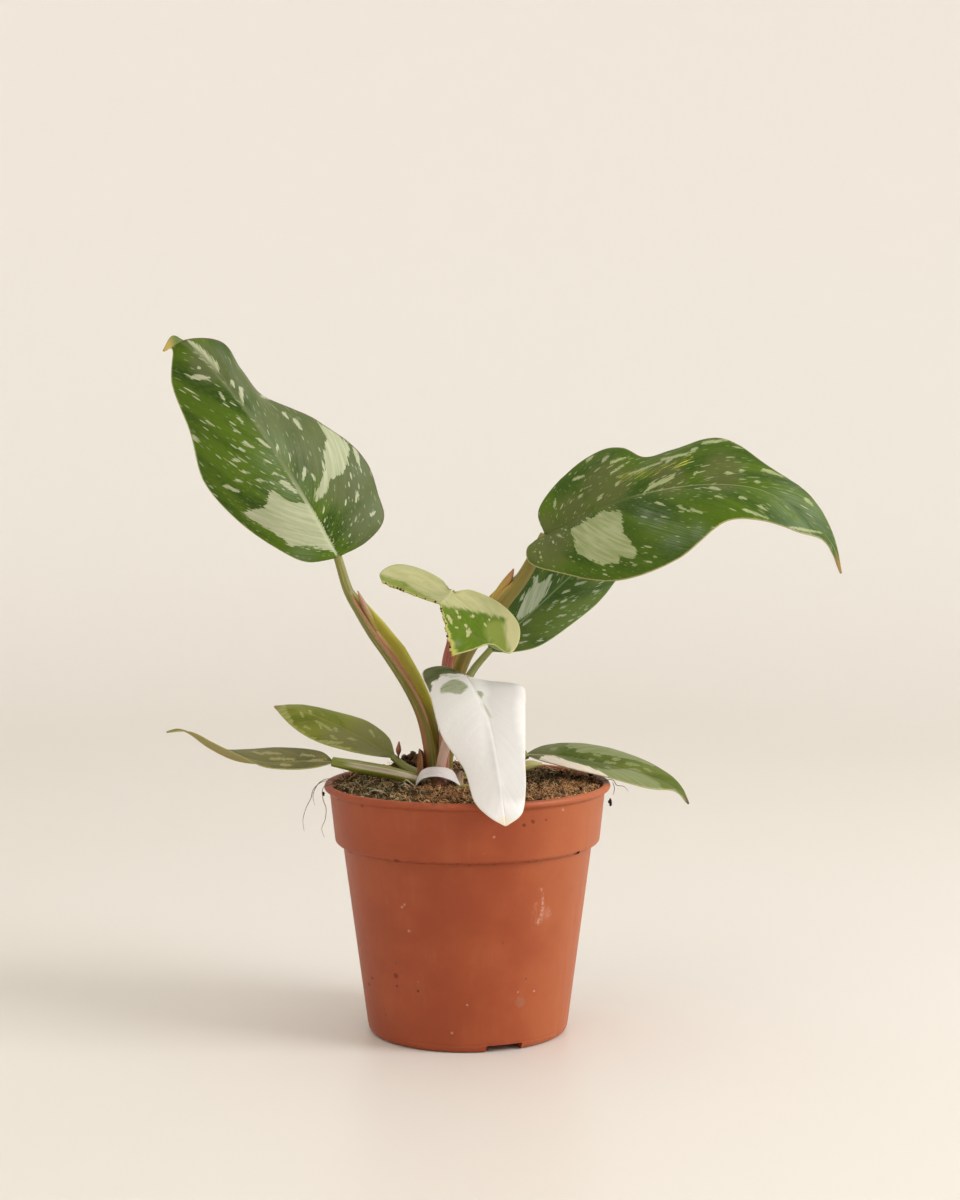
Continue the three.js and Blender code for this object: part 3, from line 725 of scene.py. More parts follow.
def sprig_shape(name, finish, seed):
    """A sprig of moss: eleven slim leaflets round a short upright stem."""
    draw = np.random.default_rng(seed)
    leaflets = []
    for k in range(11):
        angle = k * 2.4 + draw.uniform(-0.3, 0.3)
        foot = np.array([0, 0, 0.1 + 0.075 * k])
        reach = 0.5 - 0.025 * k
        out = np.array([math.cos(angle), math.sin(angle), draw.uniform(0.3, 0.9)]) * reach
        across = np.array([-math.sin(angle), math.cos(angle), 0]) * 0.11
        points = [foot, foot + out * 0.45 + across, foot + out * 0.45 - across, foot + out]
        points.append(foot + out * 0.45 + np.array([0, 0, 0.05]))
        leaflets.append((points, [(0, 2, 4), (0, 4, 1), (1, 4, 3), (4, 2, 3), (0, 1, 2), (1, 3, 2)]))
    return make_piece(name, *joined(leaflets), finish, smooth=False)


crumbs_finish = Finish("peat_crumbs", Specular_IOR_Level=0.2, Roughness=0.95)
crumb_tint = crumbs_finish.attribute("tint")
colour = crumbs_finish.mix(crumbs_finish.rise(crumb_tint, 0.1, 0.8), PEAT_DARK, PEAT_BROWN)
colour = crumbs_finish.mix(crumbs_finish.rise(crumb_tint, 0.86, 0.98) * 0.8, colour, PEAT_RUSTY)
crumbs_finish.set({"Base Color": colour})
crumbs_finish.relief(crumbs_finish.noise(crumbs_finish.place(), 2500, 3), 0.2, 0.7)

fibre_finish = Finish("peat_fibres", Roughness=0.8, Specular_IOR_Level=0.25)
fibre_tint = fibre_finish.attribute("tint")
browned = fibre_finish.rise(fibre_tint, 0.1, 0.6)
colour = fibre_finish.mix(browned, FIBRE_DARK, FIBRE_BROWN)
colour = fibre_finish.mix(fibre_finish.rise(fibre_tint, 0.55, 0.9), colour, FIBRE_STRAW)
fibre_finish.set({"Base Color": colour})

rusty_finish = Finish("rusty_fibres", Roughness=0.8, Specular_IOR_Level=0.25)
colour = rusty_finish.mix(rusty_finish.attribute("tint"), RUSTY_DARK, RUSTY_BRIGHT)
rusty_finish.set({"Base Color": colour})

curl_finish = Finish("moss_curls", Roughness=0.7, Specular_IOR_Level=0.3)
colour = curl_finish.mix(curl_finish.attribute("tint"), CURL_DARK, CURL_PALE)
curl_finish.set({"Base Color": colour})

moss_finish = Finish("moss", Roughness=0.75, Specular_IOR_Level=0.3)
moss_tint = moss_finish.attribute("tint")
greened = moss_finish.rise(moss_tint, 0.1, 0.7)
colour = moss_finish.mix(greened, MOSS_DARK, MOSS_OLIVE)
colour = moss_finish.mix(moss_finish.rise(moss_tint, 0.7, 1), colour, MOSS_STRAW)
moss_finish.set({"Base Color": colour})

crumb_small = crumb_shape("crumb_small", crumbs_finish, seed=1)
crumb_large = crumb_shape("crumb_large", crumbs_finish, seed=5)
fibre_short = fibre_shape("fibre_short", fibre_finish, length=3.4, bow=1.1, radius=0.16, seed=3)
fibre_long = fibre_shape("fibre_long", fibre_finish, length=7, bow=1, radius=0.16, seed=8)
fibre_rusty = fibre_shape("fibre_rusty", rusty_finish, length=3, bow=1.1, radius=0.19, seed=12)
curl_rusty = fibre_shape("curl_rusty", rusty_finish, length=3.2, bow=0.8, radius=0.15, seed=21, curl=0.16)
curl_pale = fibre_shape("curl_pale", curl_finish, length=3, bow=0.9, radius=0.14, seed=23, curl=0.18)
sprig = sprig_shape("sprig", moss_finish, seed=4)

# Each litter: its shape, finish and mask, how many there are in a square metre, the least and the greatest
# size, the lean in radians, and how far it sinks in.
SCATTERED = {
    "soil_crumbs_fine": (crumb_small, crumbs_finish, "top", 3.3e5, 0.4, 1.5, 3.1, 0),
    "soil_crumbs_coarse": (crumb_large, crumbs_finish, "bare", 5e4, 1.4, 3.2, 3.1, 0.2),
    "soil_fibres_short": (fibre_short, fibre_finish, "top", 1.9e5, 0.5, 1.3, 0.8, -0.4),
    "soil_fibres_long": (fibre_long, fibre_finish, "bare", 3.4e4, 0.5, 1.3, 0.5, -0.6),
    "soil_fibres_rusty": (fibre_rusty, rusty_finish, "rusty", 4.5e5, 0.5, 1.3, 1, -0.5),
    "soil_curls": (curl_rusty, rusty_finish, "rusty", 2.2e5, 0.5, 1.4, 0.8, 0.2),
    "moss_curls": (curl_pale, curl_finish, "moss", 3.6e5, 0.5, 1.4, 0.8, 0.3),
    "moss_sprigs": (sprig, moss_finish, "moss", 5.9e5, 0.7, 1.7, 0.7, 0.1),
}
for seed, (name, (shape, finish, mask, density, least, greatest, lean, sink)) in enumerate(SCATTERED.items()):
    litter = grower.scatter(
        name, soil, Shape=shape, Finish=finish.material, Mask=mask, Density=density, Least=least,
        Greatest=greatest, Lean=lean, Sink=sink * MM, Seed=seed + 3,
    )
    lay(litter)
    bpy.data.objects.remove(shape)

draw = np.random.default_rng(HEAP_SEED)
heap = []
for seed in range(HEAP_CRUMBS):
    place = draw.normal(0, 1, 2)
    x, y = HEAP_MIDDLE + place * HEAP_SPREAD
    z = soil_top(x, y) + HEAP_HEIGHT * math.exp(-(place @ place) / 2) * draw.uniform(0, 1)
    radius = draw.uniform(*HEAP_CRUMB_RADII)
    heap.append(uneven_lump((x, y, z), radius, unevenness=0.5, pitch=1.3, shift=(seed, 0, 0)))
soil_heap = make_piece("soil_heap", *joined(heap), peat, smooth=False)
lay(soil_heap)


# Stem and leaf stalks
# The short green stem stands in the peat and every stalk grows out of it. A stalk is round and fleshy, and
# the lower part of the large ones bears a sheath: two thin wings along a channel, with pointed free ends.
WING_ANGLE = 0.63
WING_WIDTH = 0.2
STALK_SIDES = 64
STALK_STEPS = 14
STALK_CROWDING = 0.72
SMOOTH_STEPS = 6


def spline(points, shares):
    """Places on a centripetal Catmull-Rom spline; the shares run evenly from point to point."""
    points = np.array(points, float)
    knots = np.concatenate([[2 * points[0] - points[1]], points, [2 * points[-1] - points[-2]]])
    place = np.clip(shares, 0, 1) * (len(points) - 1)
    stage = np.minimum(place.astype(int), len(points) - 2)
    w = (place - stage)[:, None]
    a, b, c, d = (knots[stage + k] for k in range(4))
    before, between, after = (
        np.sqrt(np.linalg.norm(q - p, axis=1, keepdims=True)) for p, q in ((a, b), (b, c), (c, d))
    )
    leaving = ((b - a) / before - (c - a) / (before + between) + (c - b) / between) * between
    reaching = ((c - b) / between - (d - b) / (between + after) + (d - c) / after) * between
    bow = -3 * b + 3 * c - 2 * leaving - reaching
    twist = 2 * b - 2 * c + leaving + reaching
    return b + leaving * w + bow * w ** 2 + twist * w ** 3


def by_length(points, shares):
    """Places on the spline at shares of its length, and its direction there."""
    fine = np.linspace(0, 1, 401)
    trace = spline(points, fine)
    run = np.concatenate([[0], np.cumsum(np.linalg.norm(np.diff(trace, axis=0), axis=1))])
    at = np.interp(np.asarray(shares) * run[-1], run, fine)
    ahead = spline(points, np.minimum(at + 0.004, 1)) - spline(points, np.maximum(at - 0.004, 0))
    return spline(points, at), ahead / np.linalg.norm(ahead, axis=1, keepdims=True), run[-1]


def unit(vectors):
    return vectors / np.maximum(np.linalg.norm(vectors, axis=-1, keepdims=True), 1e-9)


def grow_stalk(name, path, facing, finish):
    """A closed tube through points [x, y, z, radius, wing]; the wings stand out on the facing side."""
    rows = (len(path) - 1) * STALK_STEPS + 1
    shares = np.linspace(0, 1, rows)
    stages = np.linspace(0, 1, len(path))
    centre = spline([point[:3] for point in path], shares)
    ahead = unit(np.gradient(centre, axis=0))
    radius = np.interp(shares, stages, [point[3] for point in path])
    share = np.ones(2 * SMOOTH_STEPS + 1) / (2 * SMOOTH_STEPS + 1)
    radius = np.convolve(np.pad(radius, SMOOTH_STEPS, "edge"), share, "valid")
    wing = np.interp(shares, stages, [point[4] if len(point) > 4 else 0 for point in path])
    facing = np.array(facing, float)
    side = unit(facing - (ahead @ facing)[:, None] * ahead)
    front = np.cross(ahead, side)
    even = np.arange(STALK_SIDES) / STALK_SIDES * 2 * math.pi
    angles = even - STALK_CROWDING * np.sin(even)
    from_side = np.minimum(angles, 2 * math.pi - angles)
    fin = np.exp(-(((from_side - WING_ANGLE) / WING_WIDTH) ** 2))
    reach = radius[:, None] + wing[:, None] * fin
    points = centre[:, None] + reach[..., None] * (
        np.cos(angles)[:, None] * side[:, None] + np.sin(angles)[:, None] * front[:, None]
    )
    length = np.concatenate([[0], np.cumsum(np.linalg.norm(np.diff(centre, axis=0), axis=1))])
    around = np.stack([np.cos(angles), np.sin(angles)], 1) * 3
    skin = np.concatenate([
        np.broadcast_to(around[None], (rows, STALK_SIDES, 2)),
        np.broadcast_to(length[:, None, None], (rows, STALK_SIDES, 1)),
    ], axis=2)
    inside = (from_side < WING_ANGLE)[None] * np.minimum(wing[:, None] / 2, 1)
    marks = {
        "skin": skin.reshape(-1, 3),
        "near_fin": (fin * (angles > math.pi) * np.minimum(wing[:, None] / 1.5, 1)).ravel(),
        "far_fin": (fin * (angles < math.pi) * np.minimum(wing[:, None] / 1.5, 1)).ravel(),
        "inside": inside.ravel(),
        "along": np.repeat(shares, STALK_SIDES),
    }
    return make_piece(name, points.reshape(-1, 3), tube_faces(rows, STALK_SIDES), finish, marks)


def stalk_finish(
    name, low, high, streak, near_fin, far_fin=None, inside=None, tip_from=0.75, near_reach=(0.45, 0.85),
    stripe=None, stripe_reach=(0.16, 0.34), near_inside=None,
):
    """Fleshy skin that turns from the low colour to the high one, with pale lengthwise streaks. The far fin
    and the inside have the near fin's colour unless they are given their own."""
    flesh = Finish(name, Roughness=0.38, Specular_IOR_Level=0.4)
    far_fin = far_fin or near_fin
    inside = inside or near_fin
    skin = flesh.attribute("skin", "Vector")
    lines = flesh.noise(flesh.stretch(skin, (1.1, 1.1, 0.05)), 1, 4, 0.6)
    fine_lines = flesh.noise(flesh.stretch(skin, (4.5, 4.5, 0.12)), 1, 3)
    mottle = flesh.noise(skin, 1.6, 4, 0.65)
    climb = flesh.rise(flesh.attribute("along") + (mottle - 0.5) * 0.3, 0.15, tip_from)
    colour = flesh.mix(climb, low, high)
    colour = flesh.mix(flesh.rise(lines, 0.5, 0.68) * 0.55, colour, streak)
    colour = flesh.mix(flesh.rise(fine_lines, 0.55, 0.75) * 0.25, colour, streak)
    channel = inside
    if near_inside:
        near_half = flesh.part(skin, 1) + (mottle - 0.5) * 1.6 + (lines - 0.5) * 0.6
        high_up = flesh.rise(flesh.attribute("along") + (mottle - 0.5) * 0.3, 0.3, 0.48)
        near_share = (1 - flesh.rise(near_half, -0.4, 0.9)) * high_up
        channel = flesh.mix(near_share, inside, near_inside)
    colour = flesh.mix(flesh.attribute("inside") * 0.9, colour, channel)
    for label, fin, reach in (("near_fin", near_fin, near_reach), ("far_fin", far_fin, (0.45, 0.85))):
        wavering = (lines - 0.5) * 0.4 + (mottle - 0.5) * 0.4
        colour = flesh.mix(flesh.rise(flesh.attribute(label) + wavering, *reach), colour, fin)
    if stripe:
        stripe_colour, side_share, front_share, spread = stripe
        facing = flesh.part(skin, 0) * side_share + flesh.part(skin, 1) * front_share
        facing = facing + (mottle - 0.5) * spread
        low_down = 1 - flesh.rise(flesh.attribute("along") + (lines - 0.5) * 0.1, *stripe_reach)
        colour = flesh.mix(flesh.rise(facing, 2.9 - spread, 2.95) * low_down * 0.85, colour, stripe_colour)
    flesh.set({"Base Color": colour})
    flesh.relief(lines * 2 + fine_lines, 0.12, 0.5)
    return flesh


olive_flesh = stalk_finish(
    "olive_flesh", low=(0.15, 0.12, 0.006, 1), high=(0.2, 0.19, 0.04, 1), streak=(0.38, 0.36, 0.12, 1),
    near_fin=(0.38, 0.2, 0.09, 1), far_fin=(0.46, 0.42, 0.05, 1), inside=(0.36, 0.32, 0.016, 1),
    near_reach=(0.2, 0.7), near_inside=(0.5, 0.18, 0.1, 1),
    stripe=((0.33, 0.12, 0.05, 1), -0.15, -0.99, 0.35),
)
amber_flesh = stalk_finish(
    "amber_flesh", low=(0.15, 0.105, 0.008, 1), high=(0.21, 0.17, 0.02, 1), streak=(0.3, 0.2, 0.04, 1),
    near_fin=(0.38, 0.27, 0.02, 1), far_fin=(0.4, 0.27, 0.05, 1), inside=(0.34, 0.25, 0.01, 1),
    stripe=((0.5, 0.36, 0.16, 1), 0, 1, 0.06),
)
rosy_flesh = stalk_finish(
    "rosy_flesh", low=(0.36, 0.14, 0.09, 1), high=(0.3, 0.05, 0.035, 1), streak=(0.5, 0.27, 0.2, 1),
    near_fin=(0.45, 0.17, 0.13, 1), inside=(0.3, 0.16, 0.04, 1),
)
white_flesh = stalk_finish(
    "white_flesh", low=(0.54, 0.33, 0.26, 1), high=(0.62, 0.5, 0.4, 1), streak=(0.42, 0.32, 0.16, 1),
    near_fin=(0.55, 0.37, 0.28, 1), inside=(0.45, 0.36, 0.26, 1),
)
lime_flesh = stalk_finish(
    "lime_flesh", low=(0.17, 0.15, 0.015, 1), high=(0.18, 0.2, 0.03, 1), streak=(0.4, 0.36, 0.17, 1),
    near_fin=(0.2, 0.2, 0.03, 1), inside=(0.48, 0.39, 0.28, 1),
)
stem_flesh = stalk_finish(
    "stem_flesh", low=(0.14, 0.09, 0.015, 1), high=(0.13, 0.11, 0.012, 1), streak=(0.42, 0.24, 0.16, 1),
    near_fin=(0.5, 0.2, 0.14, 1), inside=(0.3, 0.28, 0.03, 1),
)

stem = grow_stalk(
    "stem_skin",
    [[-12.5, 0, 92, 3.6], [-12.5, 0, 100, 4.6], [-12.5, 0, 106, 4.8], [-13, 0.5, 112, 3.6],
     [-13, 1, 117, 1.8]],
    (1, -0.4, 0), stem_flesh,
)
seat(stem, "stem")


# Leaf blades
# Thick smooth leaves with a sunken midrib and side veins that sweep forward. White princess is variegated:
# sage, lime, cream and white tissue in patches, streaks and specks that follow the side veins.
BLADE_BASE_WIDTH = 3
BLADE_TIP_WIDTH = 1
FULL_HALF_WIDTH = 20
BLADE_THICKNESS = 0.62
MARGIN_THICKNESS = 0.3
RIB_WIDTH = 1
RIB_DEPTH = 0.38
VEIN_SPACING = 5.5
VEIN_WIDTH = 0.9
VEIN_DEPTH = 0.07
VEIN_BEND = 0.004
MARGIN_ROUNDING = 1.2
RIPPLE_LENGTH = 16
LEAF_SHEEN = (0.26, 0.3, 0.25, 1)


def blade_edge(mid, edge, torn):
    """One edge of a blade: from beside the midrib's foot, through its own points, to beside the tip."""
    mid, edge = np.array(mid, float), np.array(edge, float)

    def beside(origin, along, towards, distance):
        along = unit(along)
        across = towards - origin
        return origin + unit(across - (across @ along) * along) * distance

    foot = beside(mid[0], mid[1] - mid[0], edge[0], BLADE_BASE_WIDTH / 2)
    tip = beside(mid[-1], mid[-1] - mid[-2], edge[-1], BLADE_TIP_WIDTH / 2)
    return np.array([foot, *edge] + ([] if torn else [tip]))


def line_distance(points, start, end):
    """How far flat points lie from the line between two ends."""
    start, end = np.array(start, float), np.array(end, float)
    along = np.clip((points - start) @ (end - start) / max((end - start) @ (end - start), 1e-9), 0, 1)
    return np.linalg.norm(points - start - along[:, None] * (end - start), axis=1)


def outline_depth(flat, outline):
    """How deep flat points lie inside a closed outline; negative outside."""
    outline = np.array(outline, float)
    depth = np.full(len(flat), 1e9)
    inside = np.zeros(len(flat), bool)
    for start, end in zip(outline, np.roll(outline, -1, axis=0)):
        depth = np.minimum(depth, line_distance(flat, start, end))
        crosses = (start[1] > flat[:, 1]) != (end[1] > flat[:, 1])
        rise = end[1] - start[1] if end[1] != start[1] else 1e-9
        inside ^= crosses & (flat[:, 0] < (end[0] - start[0]) * (flat[:, 1] - start[1]) / rise + start[0])
    return np.where(inside, depth, -depth)


def marking_depth(flat, outlines, streaks=()):
    """How deep flat points lie inside any of the outlines, or of the streaks from end to end."""
    depth = np.full(len(flat), -20.0)
    for outline in outlines:
        depth = np.maximum(depth, outline_depth(flat, outline))
    for x_start, z_start, x_end, z_end, width in streaks:
        run = np.array([x_end - x_start, z_end - z_start])
        half_length = np.linalg.norm(run) / 2
        from_middle = flat - np.array([x_start + x_end, z_start + z_end]) / 2
        ahead = from_middle @ run / (2 * half_length)
        aside = (from_middle[:, 0] * run[1] - from_middle[:, 1] * run[0]) / (2 * half_length)
        slanted = half_length + 0.3 - np.abs(ahead + 0.9 * aside)
        half_width = width * (0.68 - 0.3 * np.abs(ahead / (half_length + 0.3) + 0.3) ** 1.5)
        depth = np.maximum(depth, np.minimum(half_width - np.abs(aside), slanted))
    return depth


def grow_blade(
    name, finish, shape, rows, half_columns, ripple=0.35, patches=(), streaks=(), accent=(), shade=(),
    dull_tone_and_painted_light=(), sheen=(), slant=(0.25, 0.9), bites=0, seed=1,
):
    """A closed blade between its midrib and its two edges, with its relief, and the marks for its finish."""
    mid, torn = shape["mid"], shape.get("torn", False)
    shares = np.linspace(0, 1, rows + 1)
    centre, forward, length = by_length(mid, shares ** shape.get("sweep", 1.4))
    f = np.linspace(0, 1, half_columns + 1)
    halves = []
    for side, label, rise in ((-1, "left", shape["arch"][0]), (1, "right", shape["arch"][1])):
        out = by_length(blade_edge(mid, shape[label], torn), shares)[0] - centre
        width = np.linalg.norm(out, axis=1)
        up = unit(np.cross(out, forward) * side)
        height = rise * np.minimum(1, width / FULL_HALF_WIDTH) * np.sin(math.pi * shares)
        lift = 4 * f * (1 - f) * height[:, None]
        sheet = centre[:, None] + out[:, None] * f[None, :, None] + up[:, None] * lift[..., None]
        halves.append((sheet, width[:, None] * f, width[:, None] * (1 - f)))
    sheet, across, margin = (
        np.concatenate([halves[0][k][:, ::-1], halves[1][k][:, 1:]], axis=1) for k in range(3)
    )
    signs = np.concatenate([-np.ones(half_columns), np.ones(half_columns + 1)])
    columns = 2 * half_columns
    station = np.broadcast_to((shares * length)[:, None], across.shape)

    normal = unit(np.cross(np.gradient(sheet, axis=1), np.gradient(sheet, axis=0)))
    swell = rough(sheet.reshape(-1, 3), RIPPLE_LENGTH, seed).reshape(across.shape)
    sheet = sheet + normal * (ripple * swell * np.clip(across / 4, 0, 1))[..., None]
    if bites:
        place = np.linspace(0, 1, sheet.shape[1])
        scallops = np.abs(np.sin(math.pi * (23 * place + 0.7 * np.sin(29 * place))))
        scallops = scallops + 0.4 * np.sin(67 * place)
        last = sheet[-1] - sheet[-2]
        bite = bites * (0.6 + scallops) * shares[:, None] ** 6
        sheet = sheet - unit(last)[None] * bite[..., None]
    normal = unit(np.cross(np.gradient(sheet, axis=1), np.gradient(sheet, axis=0)))

    fade = 1 - 0.75 * shares[:, None]
    rib = np.exp(-((across / (RIB_WIDTH * (1.25 - shares[:, None]))) ** 2)) * fade
    lean = slant[0] + (slant[1] - slant[0]) * station / length
    vein_station = station - lean * across - VEIN_BEND * across ** 2
    beat = (vein_station / VEIN_SPACING + 0.5 * (signs[None] > 0)) % 1 - 0.5
    vein = np.exp(-((beat * VEIN_SPACING / VEIN_WIDTH) ** 2))
    vein *= np.clip(margin / 5, 0, 1) * np.clip(across / 3, 0, 1)
    body = np.clip(margin / MARGIN_ROUNDING, 0, 1)
    half_thickness = (MARGIN_THICKNESS + (BLADE_THICKNESS - MARGIN_THICKNESS) * body ** 0.6) / 2
    upper = sheet + normal * (half_thickness - RIB_DEPTH * rib - VEIN_DEPTH * vein)[..., None]
    lower = sheet - normal * (half_thickness + RIB_DEPTH * 1.5 * rib + VEIN_DEPTH * vein)[..., None]
    points = np.concatenate([upper.reshape(-1, 3), lower.reshape(-1, 3)])

    wide = columns + 1
    count = wide * (rows + 1)
    faces = []
    for i in range(rows):
        for j in range(columns):
            a = i * wide + j
            quad = (a, a + 1, a + wide + 1, a + wide)
            faces.append(quad)
            faces.append(tuple(count + corner for corner in reversed(quad)))
    rim = list(range(wide)) + [i * wide + columns for i in range(1, rows + 1)]
    rim += [rows * wide + j for j in range(columns - 1, -1, -1)] + [i * wide for i in range(rows - 1, 0, -1)]
    faces += [(b, a, count + a, count + b) for a, b in zip(rim, rim[1:] + rim[:1])]

    seen = as_seen(sheet.reshape(-1, 3))
    depths = {
        "patch": marking_depth(seen, patches),
        "streak": marking_depth(seen, [], streaks),
        "accent": marking_depth(seen, accent),
        "shade": marking_depth(seen, [], shade),
        "dull_tone_and_painted_light": near_spots(seen, dull_tone_and_painted_light) if dull_tone_and_painted_light else np.zeros(len(seen)),
        "sheen": near_spots(seen, sheen) if sheen else np.zeros(len(seen)),
    }
    flat_across = (across * signs[None]).ravel()
    vein_map = np.stack([flat_across, vein_station.ravel(), np.full(flat_across.shape, seed * 31.0)], 1)
    marks = {
        "vein": np.tile(vein_map, (2, 1)),
        "margin": np.tile(margin.ravel(), 2),
        "along": np.tile(np.repeat(shares, wide), 2),
        "under": np.repeat([0.0, 1.0], count),
    }
    marks.update({label: np.tile(depth, 2) for label, depth in depths.items()})
    return make_piece(name, points, faces, finish, marks)


def leaf_finish(
    name, deep, fresh, dull_tone_and_painted_light, sage, pale, rib, rims, tip, under, rib_foot=None, accent=None, shade=None,
    rib_reach=(0.5, 0.5), rib_turn=(0.12, 0.35), rim_reach=(0.2, 0.6), tip_reach=(0.95, 0.985), accent_fill=1,
    jag=1, blur=0.1, speckle=0.6, gloss=0.36,
):
    """Leaf tissue: green, with patches, streaks and specks whose ragged edges follow the side veins."""
    leaf = Finish(name, Specular_IOR_Level=0.14)
    vein = leaf.attribute("vein", "Vector")
    along = leaf.attribute("along")
    across = leaf.part(vein, 0)

    def grain(length, width, detail=3, roughness=0.55):
        """Noise with grains of that length along the side veins and that width across them."""
        return leaf.noise(leaf.stretch(vein, (1 / length, 1 / width, 1)), 1, detail, roughness)

    def dashes(length, width, share, strength):
        """Spots of up to that length and width, in that share of the cells."""
        return leaf.specks(leaf.stretch(vein, (0.6 / length, 0.6 / width, 1)), 1, 0.3, share) * strength

    broad = grain(34, 20, 2)
    lines = grain(12, 0.7, 4, 0.6)
    cells = grain(1.1, 0.8, 2)
    torn = grain(5, 1.5, 3, 0.6) - 0.5
    ragged = grain(1.8, 0.5, 3, 0.6) - 0.5
    layers = grain(11, 2.2, 3)
    colour = leaf.mix(leaf.rise(broad * 0.8 + lines * 0.2, 0.4, 0.6), deep, fresh)
    colour = leaf.mix(leaf.rise(cells, 0.44, 0.66) * 0.4, colour, leaf.mix(0.1, fresh, sage))
    # The dull spots tint the tissue: a grey-green or lime tone of its own on most leaves, painted reflection
    # on the upper leaves' sides turned to the light, and painted shade down the white leaf's right half.
    dull_tone_and_painted_light_share = leaf.rise(leaf.attribute("dull_tone_and_painted_light") + (broad - 0.5) * 0.6, 0.15, 0.75)
    colour = leaf.mix(dull_tone_and_painted_light_share * 0.85, colour, leaf.mix(lines * 0.25, dull_tone_and_painted_light, fresh))
    glint = leaf.attribute("sheen") * leaf.rise(grain(16, 0.5), 0.36, 0.62)
    colour = leaf.mix(glint * 0.4, colour, LEAF_SHEEN)
    crowd = leaf.rise(grain(12, 7, 2), 0.36, 0.6) * 0.55 + 0.45
    colour = leaf.mix(dashes(1.3, 1.1, 0.75, 0.75 * speckle) * crowd, colour, leaf.mix(0.7, fresh, sage))
    colour = leaf.mix(dashes(1.8, 1.3, 0.45, speckle) * crowd, colour, leaf.mix(0.3, sage, pale))
    colour = leaf.mix(dashes(3, 1.4, 0.22, speckle) * crowd, colour, pale)
    dark = leaf.rise(leaf.attribute("shade") + ragged * 1.5, -0.3, 0.4)
    colour = leaf.mix(dark * 0.8, colour, shade or deep)
    patch_edge = leaf.attribute("patch") + torn * (5 * jag) + ragged * (1.6 * jag)
    tone = leaf.mix(leaf.rise(layers, 0.32, 0.68), sage, pale)
    tone = leaf.mix(leaf.rise(lines, 0.5, 0.72) * 0.2, tone, pale)
    flecks = dashes(1.8, 0.6, 0.3, 0.4) * (1 - leaf.rise(patch_edge, 0.4, 2)) * jag
    tone = leaf.mix(flecks, tone, fresh)
    colour = leaf.mix(leaf.rise(patch_edge, -blur, blur), colour, tone)
    accent_edge = leaf.attribute("accent") + torn * (4 * jag) + ragged * jag
    accent_tone = leaf.mix(leaf.rise(lines, 0.4, 0.7) * 0.3, accent or pale, pale)
    accent_share = leaf.rise(grain(7, 0.9), 0.54, 0.62) * (1 - accent_fill) + accent_fill
    colour = leaf.mix(leaf.rise(accent_edge, -1.5 * blur, 1.5 * blur) * accent_share, colour, accent_tone)
    frayed = grain(1.7, 0.55, 2, 0.6) - 0.5
    streak_edge = leaf.attribute("streak") + frayed * 2.4 + torn * 0.8
    streak_tone = leaf.mix(leaf.rise(layers, 0.4, 0.6) * 0.5, pale, sage)
    colour = leaf.mix(leaf.rise(streak_edge, -0.08, 0.1) * 0.95, colour, streak_tone)
    rib_width = rib_reach[0] + along * (rib_reach[1] - rib_reach[0])
    on_rib = 1 - leaf.rise(abs(across), rib_width * 0.5, rib_width * 1.3)
    rib_colour = leaf.mix(leaf.rise(along, *rib_turn), rib_foot or rib, rib)
    colour = leaf.mix(on_rib * (0.9 - along * 0.4), colour, rib_colour)
    rim = 1 - leaf.rise(leaf.attribute("margin") + ragged * 0.5 + torn * 0.8, *rim_reach)
    colour = leaf.mix(rim * 0.85, colour, leaf.mix(leaf.rise(across, -0.1, 0.1), rims[0], rims[1]))
    colour = leaf.mix(leaf.attribute("under") * 0.75, colour, leaf.mix(lines * 0.5, under, fresh))
    colour = leaf.mix(leaf.rise(along, *tip_reach), colour, tip)
    leaf.set({"Base Color": colour, "Roughness": gloss + (lines - 0.5) * 0.2})
    leaf.relief(grain(24, 0.9, 2, 0.5) + cells * 0.3, 0.16, 0.6)
    return leaf


# Upper left leaf
# The tallest leaf stands up at the left on an olive stalk, whose sheath is an open channel with pinkish edges
# and a free pointed tip, like that of the upper right leaf. Its drip tip is curled over, and three sage
# patches and many streaks break its deep green.
UPPER_LEFT_PATCHES = [
    [(-93.5, 218), (-83.5, 220), (-82, 226), (-80.5, 227), (-73, 222), (-65.5, 221), (-61, 214), (-57, 206.5),
     (-54, 201), (-62.5, 203), (-67.5, 204), (-73, 203.5), (-79, 209), (-84, 211.5), (-90, 215)],
    [(-61.5, 255.5), (-57.5, 253.5), (-52, 249), (-48.5, 244), (-49.5, 237.5), (-52, 233.5), (-57, 231),
     (-58.5, 225.5), (-63.5, 221.5), (-62, 228), (-59, 235.5), (-59.5, 240), (-58.5, 248)],
    [(-115, 289), (-111.5, 288), (-107.5, 284.5), (-103, 279.5), (-102.5, 275), (-105, 277.5), (-109, 281.5),
     (-112.5, 286)],
]
